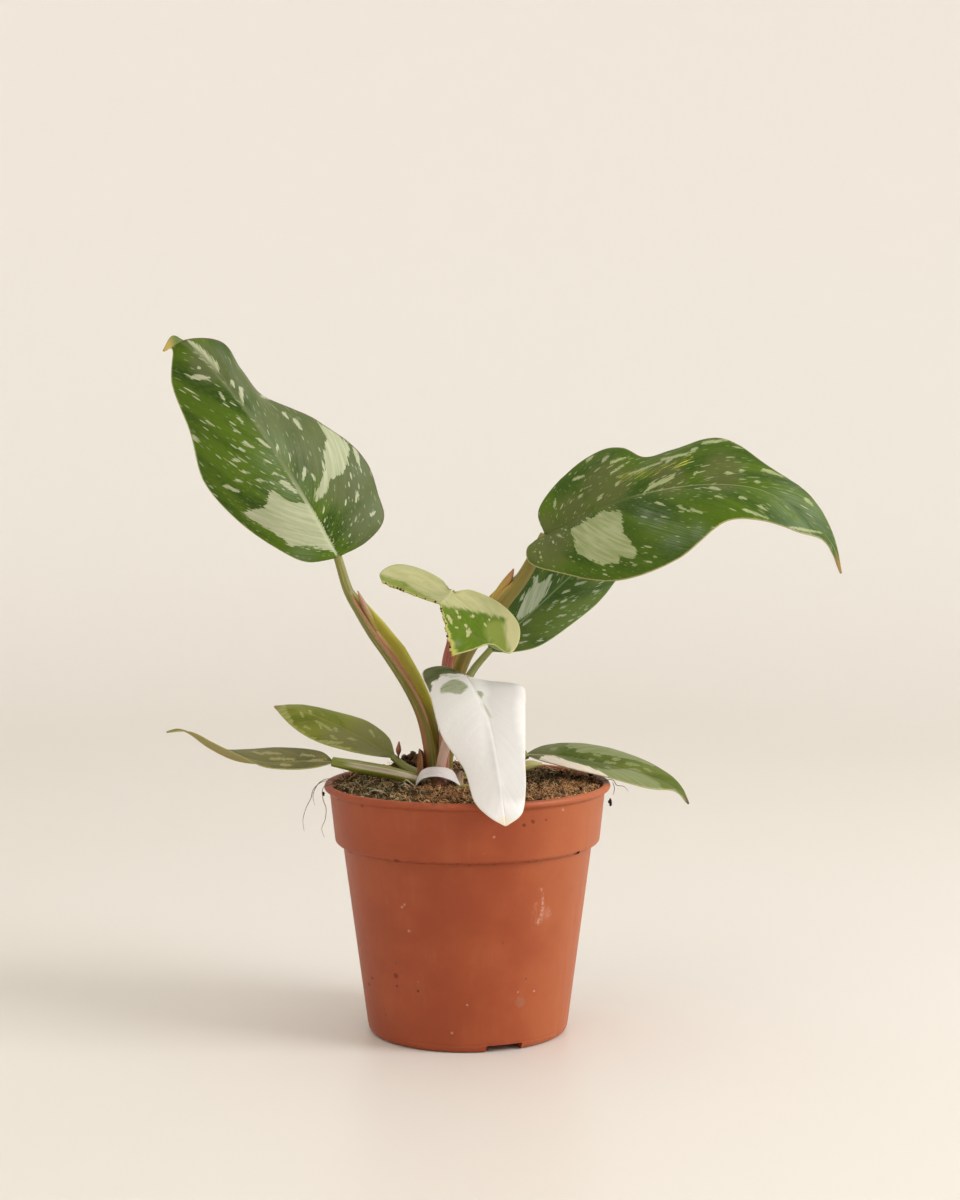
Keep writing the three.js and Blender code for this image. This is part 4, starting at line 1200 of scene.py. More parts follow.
UPPER_LEFT_STREAKS = [
    (-113.5, 274, -106, 273.5, 1.6), (-71.5, 256.5, -68.5, 252, 1.1), (-76, 259, -74, 256.5, 0.9),
    (-92.5, 247, -88, 244.5, 1), (-94.5, 244.5, -91.5, 243, 0.8), (-86.5, 248.5, -81.5, 244.5, 1),
    (-97, 240, -94, 239, 0.8), (-100.5, 229, -94.5, 226.5, 1.1), (-77, 231, -70.5, 226, 1.6),
    (-67, 236, -68, 231, 1.2), (-64, 233.5, -63, 231, 0.8), (-45.5, 226.5, -46, 222, 1),
    (-40, 216.5, -38, 218, 0.8), (-97, 272.5, -96, 269.5, 0.9), (-93.5, 269.5, -92.5, 262, 1.1),
    (-85, 266, -81.5, 264.5, 0.9), (-78.5, 245.5, -78.5, 242.5, 0.7), (-80.5, 234, -77.5, 233.5, 0.8),
    (-87, 231.5, -84, 230.5, 0.8), (-46.5, 244.5, -44.5, 237, 1.3), (-113.5, 250, -110.5, 247.5, 0.8),
    (-107.5, 256, -104.5, 253.5, 0.7), (-96, 252, -93.5, 250.5, 0.7), (-94.5, 257, -92.5, 254.5, 0.7),
    (-102, 267.5, -100, 264, 0.8), (-96, 231.5, -93, 230.5, 0.7), (-93, 235, -90.5, 234, 0.8),
    (-49.5, 249.5, -47.5, 247, 0.8), (-111, 277.5, -110, 278, 0.9),
]
upper_left_stalk = grow_stalk(
    "upper_left_stalk",
    [[-14, -1, 103, 3.2], [-15, -1, 120, 3.6], [-18, 1, 133, 3.6, 1.2], [-23.5, 3, 144, 3.2, 3],
     [-32, 5, 157, 2.9, 4.6], [-39.5, 5, 167.5, 2.7, 4], [-45, 5, 176.5, 2.4, 2.2], [-49.5, 5, 184.5, 2.1],
     [-54, 5, 199, 1.8]],
    (0.74, -0.67, 0), olive_flesh,
)
seat(upper_left_stalk, "leaf_upper_left_stalk")

pink_tip_flesh = stalk_finish(
    "pink_tip_flesh", low=(0.3, 0.24, 0.02, 1), high=(0.42, 0.22, 0.14, 1), streak=(0.58, 0.38, 0.26, 1),
    near_fin=(0.42, 0.17, 0.09, 1), inside=(0.3, 0.24, 0.02, 1), tip_from=0.6,
)
amber_tip_flesh = stalk_finish(
    "amber_tip_flesh", low=(0.42, 0.3, 0.025, 1), high=(0.4, 0.16, 0.08, 1), streak=(0.55, 0.38, 0.12, 1),
    near_fin=(0.4, 0.3, 0.03, 1), tip_from=0.9,
)
SHEATH_TIPS = {
    "upper_left_sheath_tip": (
        pink_tip_flesh,
        [[-38.2, 3.4, 168, 1.1], [-40.6, 3, 173.5, 1.5], [-42.8, 2.7, 178.6, 1.2], [-44.3, 2.5, 182, 0.8],
         [-45.6, 2.5, 184.9, 0.15]],
    ),
    "upper_right_sheath_tip": (
        amber_tip_flesh,
        [[9.5, 3, 177.5, 1.4], [13.8, 2.4, 184, 2.2], [16.8, 2.2, 188.6, 1.9], [18.6, 2, 191.8, 1.1],
         [19.6, 2, 194, 0.2]],
    ),
}
for name, (flesh, path) in SHEATH_TIPS.items():
    lay(grow_stalk(name, path, (0.5, -0.8, 0.3), flesh))

upper_left_tissue = leaf_finish(
    "upper_left_tissue", deep=(0.03, 0.065, 0.004, 1), fresh=(0.085, 0.15, 0.007, 1),
    dull_tone_and_painted_light=(0.115, 0.13, 0.06, 1), sage=(0.35, 0.39, 0.22, 1), pale=(0.47, 0.49, 0.33, 1),
    rib=(0.17, 0.2, 0.09, 1), rib_foot=(0.5, 0.52, 0.33, 1),
    rims=[(0.42, 0.46, 0.2, 1), (0.13, 0.08, 0.05, 1)], tip=(0.44, 0.34, 0.09, 1),
    under=(0.17, 0.22, 0.08, 1), rib_reach=(0.45, 1.5), rib_turn=(0.35, 0.6), rim_reach=(0.15, 0.8),
    tip_reach=(0.96, 0.985), speckle=1, gloss=0.42,
)
upper_left_blade = grow_blade(
    "upper_left_blade", upper_left_tissue,
    {
        "mid": [[-54, 5, 199], [-66, 1, 221], [-86, -5, 254], [-107, -11, 281], [-115, -14, 288],
                [-119, -16, 290], [-123, -17, 284]],
        "left": [[-67, 2, 197], [-81, 1, 204], [-96, 1, 215], [-109, -1, 231], [-114, -4, 251],
                 [-121, -8, 272], [-120, -13, 285]],
        "right": [[-42, 11, 205], [-35, 14, 214], [-37, 16, 224], [-44, 15, 241], [-63, 14, 256],
                  [-86, 10, 267], [-94, 1, 278], [-100, -8, 288], [-113, -14, 289]],
        "arch": [3, 3],
        "sweep": 1.8,
    },
    rows=212, half_columns=60, patches=UPPER_LEFT_PATCHES, streaks=UPPER_LEFT_STREAKS,
    # Dull spots: grey-green tissue on the right half, partly painted reflection where that half faces the
    # light.
    dull_tone_and_painted_light=[(-106, 279, 9), (-75, 262, 16), (-60, 248, 18), (-46, 232, 16), (-90, 276, 13), (-40, 213, 12)],
    sheen=[(-81, 240, 7), (-73, 227, 8), (-79, 230, 5), (-68, 200, 5)],
    slant=(0.35, 1.1), seed=1,
)
seat(upper_left_blade, "leaf_upper_left_blade")


# Upper right leaf
# The longest leaf arches out to the right on an amber stalk, and its waved blade ends in a drooping tip.
# One big sage patch lies near its foot, and cream and lime streaks follow the side veins.
UPPER_RIGHT_PATCHES = [
    [(44, 210.5), (57, 218), (64.5, 217.5), (65, 209.5), (66.5, 207.5), (69, 204), (71, 200.5), (69.5, 198),
     (64, 199), (63.5, 196.5), (57, 195.5), (51.5, 197.5), (46, 200), (44.5, 206.5)],
    [(73.5, 225), (76.5, 229), (81, 231.5), (87, 233.5), (85, 230.5), (79, 227.5)],
]
UPPER_RIGHT_STREAKS = [
    (56.5, 238.5, 59.5, 241, 0.9), (60, 238, 67.5, 240.5, 0.9), (44.5, 231, 49, 232.5, 0.9),
    (54.5, 222.5, 57, 225, 0.8), (79, 221.5, 82.5, 220, 0.8), (88, 220, 93, 217.5, 0.9),
    (93.5, 218.5, 98, 217, 0.8), (103.5, 224, 106.5, 223, 0.8), (113.5, 223.5, 116.5, 222.5, 0.8),
    (121.5, 220, 124.5, 218, 0.9), (140.5, 223, 144, 220, 1), (107.5, 233.5, 110.5, 233.5, 0.8),
    (113.5, 234.5, 115.5, 234.5, 0.8), (101, 227.5, 105.5, 226.5, 0.9), (46.5, 223.5, 48.5, 225, 0.8),
    (98, 246, 109.5, 247.5, 1), (109.5, 247.5, 112.5, 245.5, 1), (115, 218.5, 125.5, 214.5, 0.8),
    (122, 213.5, 134.5, 210, 0.9), (134.5, 211, 148, 208.5, 0.9), (123, 235, 131.5, 232, 0.9),
    (62, 228.5, 64, 230.5, 0.8), (83, 238, 85.5, 239.5, 0.8), (93.5, 243, 96, 244, 0.8),
    (50, 238.5, 52.5, 240.5, 0.8), (36.5, 219.5, 37, 223, 0.8), (38, 208, 40, 207, 0.7),
    (75.5, 197, 77, 196.5, 0.8), (94.5, 233, 96, 234, 0.7), (120, 230, 122, 229.5, 0.8),
    (60, 233.5, 67.5, 238.5, 0.7), (67.5, 233, 81, 238, 0.7), (81, 239, 95, 242.5, 0.8),
]
UPPER_RIGHT_YELLOW = [
    [(62.5, 232), (65, 234.5), (71.5, 235.5), (80.5, 236.5), (85.5, 238), (94, 241), (95.5, 239.5),
     (89.5, 236), (80.5, 233.5), (71.5, 231), (64, 230)],
]
upper_right_stalk = grow_stalk(
    "upper_right_stalk",
    [[-10, 2, 103, 2.8], [-8.5, 3, 124, 3.2], [-6, 3, 143, 3.4, 1], [-1, 3, 158, 3.6, 2],
     [7.5, 3, 170.5, 3.4, 4], [16.5, 3, 181.5, 3.1, 3], [23.5, 3, 190.5, 2.8], [33, 2, 208, 2.4]],
    (-1, -0.3, 0.6), amber_flesh,
)
seat(upper_right_stalk, "leaf_upper_right_stalk")

upper_right_tissue = leaf_finish(
    "upper_right_tissue", deep=(0.03, 0.068, 0.002, 1), fresh=(0.07, 0.125, 0.003, 1),
    dull_tone_and_painted_light=(0.1, 0.11, 0.03, 1), sage=(0.25, 0.29, 0.12, 1), pale=(0.36, 0.39, 0.2, 1),
    rib=(0.3, 0.34, 0.17, 1), rib_foot=(0.08, 0.12, 0.02, 1),
    rims=[(0.24, 0.22, 0.08, 1), (0.4, 0.36, 0.14, 1)], accent=(0.45, 0.45, 0.05, 1),
    tip=(0.26, 0.17, 0.05, 1), under=(0.16, 0.22, 0.09, 1), rib_reach=(1, 0.35), rib_turn=(0.45, 0.6),
    accent_fill=0, speckle=1, gloss=0.4,
)
upper_right_blade = grow_blade(
    "upper_right_blade", upper_right_tissue,
    {
        "mid": [[33, 2, 208], [52, -3, 218], [72, -8, 225], [98, -12, 229], [120, -16, 227],
                [136, -18, 218], [149, -19, 205], [153, -19, 193]],
        "left": [[30, 8, 217], [39, 16, 230], [57, 22, 243], [66, 18, 244], [75, 12, 240],
                 [86, 10, 243], [106, 8, 248], [126, -2, 236], [142, -10, 224], [150, -17, 209]],
        "right": [[25, -6, 203], [26, -12, 197], [40, -20, 193], [61, -30, 191], [85, -34, 200],
                  [105, -32, 215], [119, -30, 215], [135, -26, 210], [146, -21, 206]],
        "arch": [2, 3],
        "sweep": 1.8,
    },
    rows=222, half_columns=60, patches=UPPER_RIGHT_PATCHES, streaks=UPPER_RIGHT_STREAKS,
    # Dull spots: a grey-olive cast over the upper half, partly the tissue's own tone and partly painted
    # reflection of the light.
    accent=UPPER_RIGHT_YELLOW, dull_tone_and_painted_light=[(58, 228, 11), (33, 205, 12), (84, 232, 8), (106, 234, 9), (45, 218, 8)],
    sheen=[(80, 213, 5), (87, 207, 6), (75, 216, 4), (96, 209, 4), (134, 221, 8), (143, 216, 8),
           (139, 212, 6)],
    slant=(0.3, 0.8), seed=2,
)
seat(upper_right_blade, "leaf_upper_right_blade")


# Young leaf in the middle
# A soft new leaf, pale sage and cream over vivid green, on a pinkish-red stalk. The far part of its blade
# has been eaten away, which leaves two curved lobes and a scalloped edge with dry brown dots.
YOUNG_ROWS = 100
YOUNG_HALF_COLUMNS = 60
YOUNG_PATCHES = [
    [(-9, 190), (2, 190), (15, 184), (26, 176), (19.5, 172.5), (14, 173.5), (8, 174.5), (2, 176.5),
     (-4, 177.5), (-10, 178.5), (-12, 182)],
    [(-40, 202), (-10, 202), (-6, 186), (-11, 179.5), (-20, 184.5), (-27, 188.5), (-36, 191.5)],
]
YOUNG_CREAM = [
    [(17.5, 178), (24, 175), (28, 168), (24, 158), (18, 154), (17.5, 161), (16, 165.5), (15.5, 171)],
]
YOUNG_STREAKS = [
    (-8, 174.5, -6.5, 171, 1.2), (1, 168.5, 0, 165.5, 1.5), (-4.5, 176.5, -4, 175.5, 0.8),
    (-3.5, 174, -3, 173, 0.9), (-0.5, 170.5, -0.5, 169.5, 0.9), (2, 174.5, 2.5, 173.5, 0.9),
    (6, 177, 7.5, 176, 0.9), (7.5, 171, 8, 170, 1), (9, 173, 9, 172, 0.8), (-4.5, 169.5, -4, 169, 0.7),
    (-24, 191, -18, 188.8, 1.5), (-9, 186.7, -6.5, 184.7, 0.9),
]
YOUNG_SHADE = [(-17.5, 190.4, -13, 188.6, 1.3), (-13, 188.6, -8.5, 185.6, 0.9), (-29, 193.5, -20, 192.4, 0.7)]
YOUNG_DOTS = [
    (-34, 187.5), (-32, 186.5), (-31, 186), (-29.5, 185.5), (-28, 185.5), (-26.5, 184.5), (-21, 181.5),
    (-17.5, 179.5), (-14, 177.5), (-13, 177), (-12, 176), (-10.5, 172.5), (-10, 171), (-9, 166), (-9.5, 162),
]
middle_young_stalk = grow_stalk(
    "middle_young_stalk",
    [[-10, -3, 104, 2], [-9.5, -4, 123, 2.4], [-9, -5, 140, 2.4, 0.6], [-8, -7, 156, 2.4, 0.6],
     [-6, -11, 165.5, 2.2], [-5.5, -15.5, 176, 1.9], [-6, -18, 184.4, 1.2]],
    (0, 1, 0), rosy_flesh,
)
seat(middle_young_stalk, "leaf_middle_young_stalk")

middle_young_tissue = leaf_finish(
    "middle_young_tissue", deep=(0.06, 0.115, 0.001, 1), fresh=(0.09, 0.15, 0.004, 1),
    dull_tone_and_painted_light=(0.22, 0.26, 0.05, 1), sage=(0.32, 0.33, 0.14, 1), pale=(0.42, 0.4, 0.2, 1),
    rib=(0.45, 0.43, 0.22, 1), rims=[(0.46, 0.44, 0.19, 1), (0.33, 0.36, 0.14, 1)],
    accent=(0.46, 0.43, 0.21, 1),
    tip=(0.4, 0.38, 0.1, 1), under=(0.36, 0.4, 0.16, 1), shade=(0.2, 0.24, 0.08, 1), jag=0.9, blur=1,
    speckle=0.25, gloss=0.42,
)
middle_young_blade = grow_blade(
    "middle_young_blade", middle_young_tissue,
    {
        "mid": [[-6, -18, 186], [-8, -26, 184], [-11, -37, 182]],
        "left": [[1, -10, 186], [13, -12, 181], [21, -20, 173], [21, -28, 166], [17, -34, 162],
                 [10, -38, 166], [1, -44, 164], [-7, -48, 162]],
        "right": [[-10, -12, 190], [-19, -14, 195], [-29, -18, 197], [-35, -25, 194], [-34, -32, 190]],
        "arch": [-4, -3],
        "sweep": 1,
        "torn": True,
    },
    rows=YOUNG_ROWS, half_columns=YOUNG_HALF_COLUMNS, ripple=0.2, patches=YOUNG_PATCHES,
    streaks=YOUNG_STREAKS, accent=YOUNG_CREAM, shade=YOUNG_SHADE,
    dull_tone_and_painted_light=[(-32, 188.5, 7), (-22, 183.5, 6), (-14, 179, 4), (12, 168, 5), (14, 162, 4)],
    sheen=[(-4, 163, 1.4)], slant=(0.2, 0.3), bites=0.8, seed=3,
)
seat(middle_young_blade, "leaf_middle_young_blade")

scab = Finish("dry_edge", Base_Color=(0.07, 0.025, 0.012, 1), Roughness=0.8, Specular_IOR_Level=0.2)
blade_points = np.array([vertex.co for vertex in middle_young_blade.data.vertices]) / MM
row_length = 2 * YOUNG_HALF_COLUMNS + 1
torn_edge = blade_points[YOUNG_ROWS * row_length:(YOUNG_ROWS + 1) * row_length]
edge_seen = as_seen(torn_edge)
dots = []
for seed, spot in enumerate(YOUNG_DOTS):
    nearest = torn_edge[np.argmin(np.linalg.norm(edge_seen - spot, axis=1))]
    radius = 0.36 + 0.12 * math.sin(5 * seed)
    dots.append(uneven_lump(nearest, radius, unevenness=0.7, pitch=3, shift=(seed, 0, 0), subdivisions=2))
eaten_edge = make_piece("eaten_edge_dots", *joined(dots), scab)
lay(eaten_edge)


# White leaf in front
# A leaf with no green tissue but a rolled lobe and sage patches at its foot. It hangs over the pot's lip.
WHITE_LEAF_LOBE = [
    [(-22, 158), (-19, 152), (-15.5, 154), (-11.5, 155), (-7.5, 153), (-3.5, 151.5), (-1, 150), (-7.5, 150),
     (-11, 149.5), (-12, 147.5), (-14.5, 146.5), (-15, 143), (-16, 141), (-18, 143.5), (-21, 148.5)],
]
WHITE_LEAF_SAGE = [
    [(-11, 144), (-10, 145.5), (-8.5, 146.5), (-6.5, 147.5), (-4, 147.5), (-1.5, 146.5), (0, 145), (0.5, 144),
     (-1, 143), (-2.5, 141.5), (-5, 141.5), (-6.5, 142), (-8, 142.5), (-9.5, 142), (-11, 141.5)],
    [(3.5, 143), (6, 142.5), (7, 141.5), (6, 140), (4.5, 141)],
]
WHITE_LEAF_SHADE = [(6.2, 137.3, 10.2, 131.4, 1.2), (-10.5, 149.4, -5, 149, 0.5), (-7, 148.6, -3.4, 149, 0.4)]
front_white_stalk = grow_stalk(
    "front_white_stalk",
    [[-12, -6, 102, 1.8], [-11, -8, 112.5, 2], [-9, -9, 121, 2], [-5.5, -12, 132.5, 2], [-2, -16, 142.5, 1.8],
     [0, -20, 151, 1.5]],
    (0, 1, 0), white_flesh,
)
seat(front_white_stalk, "leaf_front_white_stalk")

# The white leaf's dull colour is painted shade.
front_white_tissue = leaf_finish(
    "front_white_tissue", deep=(0.76, 0.74, 0.72, 1), fresh=(0.8, 0.78, 0.76, 1), dull_tone_and_painted_light=(0.52, 0.5, 0.48, 1),
    sage=(0.09, 0.105, 0.035, 1), pale=(0.14, 0.16, 0.07, 1), rib=(0.78, 0.76, 0.73, 1),
    rib_foot=(0.6, 0.58, 0.5, 1), rims=[(0.72, 0.66, 0.57, 1), (0.72, 0.66, 0.57, 1)],
    accent=(0.26, 0.31, 0.15, 1), tip=(0.76, 0.68, 0.54, 1), under=(0.78, 0.74, 0.68, 1),
    shade=(0.46, 0.46, 0.36, 1), jag=0.4, blur=0.35, speckle=0, gloss=0.5, accent_fill=0.8,
)
front_white_blade = grow_blade(
    "front_white_blade", front_white_tissue,
    {
        "mid": [[0, -20, 151], [3, -28, 147], [8, -40, 137], [11, -53, 125], [13, -64, 113], [15, -70, 98]],
        "left": [[9, -18.5, 149], [20.8, -21.5, 148], [23.3, -24, 146.8], [23.5, -33, 138.5], [23, -50, 121],
                 [23, -60, 111], [21, -68, 102]],
        "right": [[-9, -16, 155], [-18, -16, 153], [-15, -24, 144], [-10, -40, 129], [-1, -52, 117],
                  [3, -63, 106], [9, -69, 101]],
        "arch": [0.8, 1.2],
        "sweep": 1.5,
    },
    rows=130, half_columns=46, ripple=0.25, patches=WHITE_LEAF_LOBE, accent=WHITE_LEAF_SAGE,
    shade=WHITE_LEAF_SHADE,
    # Dull spots: painted shade down the right half, which faces the key light.
    dull_tone_and_painted_light=[(14, 147, 8), (15, 142, 7), (14, 137, 7), (14.5, 132, 7), (15, 127, 7), (16, 122, 7),
          (17, 117, 7), (18, 112, 7), (19, 107, 7), (19.5, 102, 7)],
    seed=4,
)
seat(front_white_blade, "leaf_front_white_blade")


# Green leaf behind
# Half hidden behind the upper right leaf, on a thin green stalk, with a white patch beside its midrib.
BEHIND_PATCHES = [
    [(21.5, 172.5), (20.5, 174), (24.5, 183), (27.5, 187.5), (28, 190.5), (30, 191), (30, 188), (32.5, 189),
     (34.5, 191.5), (35.5, 191.5), (35, 188), (32, 182), (27.5, 176.5)],
]
BEHIND_STREAKS = [
    (45, 187.5, 49.5, 188.5, 0.7), (38, 174, 41.5, 175, 0.5), (39, 177.5, 41.5, 178.5, 0.5),
    (33.5, 176.5, 36, 178.5, 0.5), (23.5, 170.5, 27, 173, 0.7), (23.5, 166, 26, 166.5, 0.6),
    (22, 163, 25, 163.5, 0.7), (52.5, 184.5, 55.5, 185, 0.5), (30.5, 164, 31.5, 165, 0.6),
    (49, 177, 50, 177.5, 0.5), (36, 180, 38, 180.5, 0.5), (39, 180, 41.5, 181, 0.5),
    (44, 180.5, 45.5, 181.5, 0.5), (22.5, 181, 24, 184, 0.7), (40, 184, 43, 185, 0.6),
    (46, 190, 50, 190.5, 0.5), (33, 171, 35.5, 172.5, 0.5), (42.5, 172, 44.5, 173, 0.4),
]
behind_right_stalk = grow_stalk(
    "behind_right_stalk",
    [[-10, 6, 102.5, 2.2], [-7.5, 7, 117, 2.2], [-5, 10, 129.5, 2.2], [-1.5, 14, 142, 2, 0.6],
     [2.5, 19, 149.5, 1.6], [10, 24, 158, 1.4]],
    (-1, 0, 0), lime_flesh,
)
seat(behind_right_stalk, "leaf_behind_right_stalk")

behind_right_tissue = leaf_finish(
    "behind_right_tissue", deep=(0.042, 0.084, 0.016, 1), fresh=(0.1, 0.15, 0.025, 1),
    dull_tone_and_painted_light=(0.1, 0.14, 0.07, 1), sage=(0.27, 0.33, 0.2, 1), pale=(0.42, 0.46, 0.33, 1),
    rib=(0.2, 0.27, 0.12, 1), rims=[(0.3, 0.36, 0.15, 1), (0.34, 0.4, 0.16, 1)], tip=(0.2, 0.2, 0.05, 1),
    under=(0.18, 0.24, 0.12, 1), jag=0.6, speckle=0.9, gloss=0.38,
)
behind_right_blade = grow_blade(
    "behind_right_blade", behind_right_tissue,
    {
        "mid": [[10, 24, 158], [23, 29, 169], [32, 32, 177], [43, 35, 187], [62, 38, 203], [79, 38, 216]],
        "left": [[11, 27, 167], [17, 30, 178], [27, 36, 190], [43, 42, 202], [61, 42, 210]],
        "right": [[19, 22, 157], [30, 24, 159], [45, 32, 168], [58, 40, 178], [69, 44, 192], [75, 42, 206]],
        "arch": [1.5, 2.5],
        "sweep": 1.6,
    },
    rows=120, half_columns=32, patches=BEHIND_PATCHES, streaks=BEHIND_STREAKS, seed=5,
)
seat(behind_right_blade, "leaf_behind_right_blade")


# Low old leaf at the left, behind
# A small old leaf that leans out over the lip, olive green and dull, yellowing along its lower margin.
LOW_BACK_PATCHES = [
    [(-81, 137.5), (-76.5, 137), (-74.5, 133.5), (-72, 128.5), (-66, 124), (-57, 120.5), (-45.5, 117.5),
     (-48, 112), (-70, 116), (-84, 130)],
]
LOW_BACK_STREAKS = [
    (-66, 134.5, -65, 133, 0.9), (-63.5, 130.5, -60, 128.5, 0.9), (-60, 128.5, -56.5, 126, 0.9),
    (-62, 121.5, -52, 121, 1), (-55.5, 127.5, -54.5, 126, 1.2), (-40.5, 126.5, -39, 123.5, 0.9),
    (-53, 135, -50.5, 134.5, 0.8), (-61.5, 128.5, -61, 127, 0.8), (-69.5, 134, -68.5, 132, 0.9),
    (-68, 128, -65.5, 127, 0.8), (-49.5, 123, -46.5, 122, 0.8), (-57, 124, -54.5, 122.5, 0.9),
]
low_left_back_stalk = grow_stalk(
    "low_left_back_stalk",
    [[-13, 1, 103.5, 2], [-20, 5, 107, 2], [-26, 9, 109.5, 1.8], [-31.5, 12, 113.5, 1.5]],
    (0, 0, 1), lime_flesh,
)
seat(low_left_back_stalk, "leaf_low_left_back_stalk")

low_left_back_tissue = leaf_finish(
    "low_left_back_tissue", deep=(0.12, 0.15, 0.012, 1), fresh=(0.22, 0.24, 0.03, 1),
    dull_tone_and_painted_light=(0.2, 0.19, 0.075, 1), sage=(0.28, 0.3, 0.05, 1), pale=(0.36, 0.37, 0.14, 1),
    rib=(0.26, 0.27, 0.07, 1), rib_foot=(0.22, 0.25, 0.07, 1),
    rims=[(0.36, 0.36, 0.1, 1), (0.2, 0.22, 0.06, 1)], tip=(0.3, 0.22, 0.1, 1),
    under=(0.25, 0.28, 0.11, 1), speckle=0.5, gloss=0.45,
)
low_left_back_blade = grow_blade(
    "low_left_back_blade", low_left_back_tissue,
    {
        "mid": [[-31.5, 12, 113.5], [-45.5, 18, 121], [-61, 26, 127.5], [-73, 31, 131.5], [-83.5, 35, 132.5]],
        "left": [[-38.5, 6, 115], [-49.5, 8, 116.5], [-65, 16, 120], [-76, 26, 125.5]],
        "right": [[-33.5, 20, 120.5], [-42.5, 28, 126.5], [-58.5, 34, 130.5], [-72.5, 37, 133]],
        "arch": [1.6, 1.6],
    },
    rows=90, half_columns=26, ripple=0.25, patches=LOW_BACK_PATCHES, streaks=LOW_BACK_STREAKS,
    dull_tone_and_painted_light=[(-40, 119, 13), (-54, 120, 8)], seed=6,
)
seat(low_left_back_blade, "leaf_low_left_back_blade")


# Low old leaf at the left, in front
# A narrow old leaf on a green stalk with a cream stripe. Its near half folds up towards the tip, so that
# its pale underside faces the front, and the tip ends in a thin hook.
LOW_FRONT_STREAKS = [
    (-85.5, 117, -78, 116.5, 0.8), (-82.5, 114.5, -72.5, 114, 0.8), (-69.5, 116, -64, 115.5, 0.8),
    (-66.5, 113.5, -59.5, 114, 0.8), (-78, 112, -74, 111.5, 0.8), (-89.5, 117.5, -85.5, 116, 0.7),
]
striped_flesh = stalk_finish(
    "striped_flesh", low=(0.16, 0.15, 0.012, 1), high=(0.17, 0.2, 0.015, 1), streak=(0.34, 0.34, 0.1, 1),
    near_fin=(0.2, 0.2, 0.03, 1), inside=(0.3, 0.28, 0.1, 1),
    stripe=((0.6, 0.52, 0.38, 1), 0.62, -0.78, 0.4), stripe_reach=(0.72, 0.9),
)
low_left_front_stalk = grow_stalk(
    "low_left_front_stalk",
    [[-13, -1, 103, 2.4], [-23, -6, 107, 2.4], [-34, -9, 110, 2.4, 0.8], [-46, -10, 112.5, 2.2, 0.8],
     [-56, -8, 114.5, 2]],
    (0, -0.3, 1), striped_flesh,
)
seat(low_left_front_stalk, "leaf_low_left_front_stalk")

low_left_front_tissue = leaf_finish(
    "low_left_front_tissue", deep=(0.1, 0.095, 0.025, 1), fresh=(0.15, 0.14, 0.035, 1),
    dull_tone_and_painted_light=(0.2, 0.19, 0.09, 1), sage=(0.25, 0.23, 0.08, 1), pale=(0.33, 0.3, 0.13, 1),
    rib=(0.26, 0.25, 0.09, 1), rims=[(0.34, 0.32, 0.12, 1), (0.22, 0.2, 0.08, 1)],
    tip=(0.24, 0.21, 0.07, 1), under=(0.47, 0.4, 0.15, 1), speckle=0.5, gloss=0.48,
)
low_left_front_blade = grow_blade(
    "low_left_front_blade", low_left_front_tissue,
    {
        "mid": [[-56, -8, 114.5], [-67.5, -10, 115], [-81.5, -12, 114.5], [-95.5, -12, 116],
                [-107, -12, 121.5], [-115, -13, 127.5], [-119.5, -13, 129], [-124, -14, 128]],
        "left": [[-63.5, -16, 113], [-74, -20, 113], [-83.5, -22, 114.5], [-95, -20, 119.5],
                 [-105, -17, 124], [-114.5, -14, 128]],
        "right": [[-61, 0, 117.5], [-78.5, 6, 118.5], [-94, 4, 118], [-102, -4, 119.5],
                  [-109, -10, 123.5], [-115.5, -13, 128]],
        "arch": [0.8, 0.8],
        "sweep": 1.3,
    },
    rows=120, half_columns=22, ripple=0.2, streaks=LOW_FRONT_STREAKS, seed=7,
)
seat(low_left_front_blade, "leaf_low_left_front_blade")


# Low leaf at the right
# A small leaf that lies out over the lip: a dark green band runs along its middle between two sage parts,
# and its near margin is pinkish white towards the foot.
LOW_RIGHT_PATCHES = [
    [(40, 124), (46, 124), (60, 121), (72, 118), (80, 113), (78, 110.5), (71.5, 113), (64.5, 114.5),
     (58, 115.5), (52, 116.5), (48, 116.5), (45, 117), (46, 118), (43.5, 119)],
    [(58, 109.5), (63.5, 109.5), (68.5, 110), (72.5, 109), (75.5, 106.5), (79.5, 104), (82.5, 101),
     (87.5, 101), (86, 98), (74.5, 99), (60, 103), (50, 105), (46, 110.5), (50, 110.8)],
]
LOW_RIGHT_CREAM = [
    [(32, 115.5), (36.5, 115), (42.5, 113), (50, 111), (55, 109), (59, 106.5), (60, 102), (48, 104),
     (39, 108), (30, 110), (29, 113)],
]
LOW_RIGHT_STREAKS = [
    (53, 116, 56, 115, 0.9), (61, 114, 64, 113.5, 0.9), (51, 114, 53, 113.5, 0.8),
    (57.5, 112.5, 62, 112, 0.9), (66.5, 112, 72, 111, 0.9), (35, 118, 37.5, 118.5, 0.9),
    (42, 119.5, 44, 118.5, 0.9), (74.5, 110, 77, 108.5, 0.8), (58, 110.5, 60, 110, 0.7),
]
low_right_stalk = grow_stalk(
    "low_right_stalk",
    [[-10, 2, 102.5, 2.4], [1, 6, 106, 2.4], [14, 10, 110, 2.2], [25.5, 12, 114.5, 1.8]],
    (0, 0, 1), lime_flesh,
)
seat(low_right_stalk, "leaf_low_right_stalk")

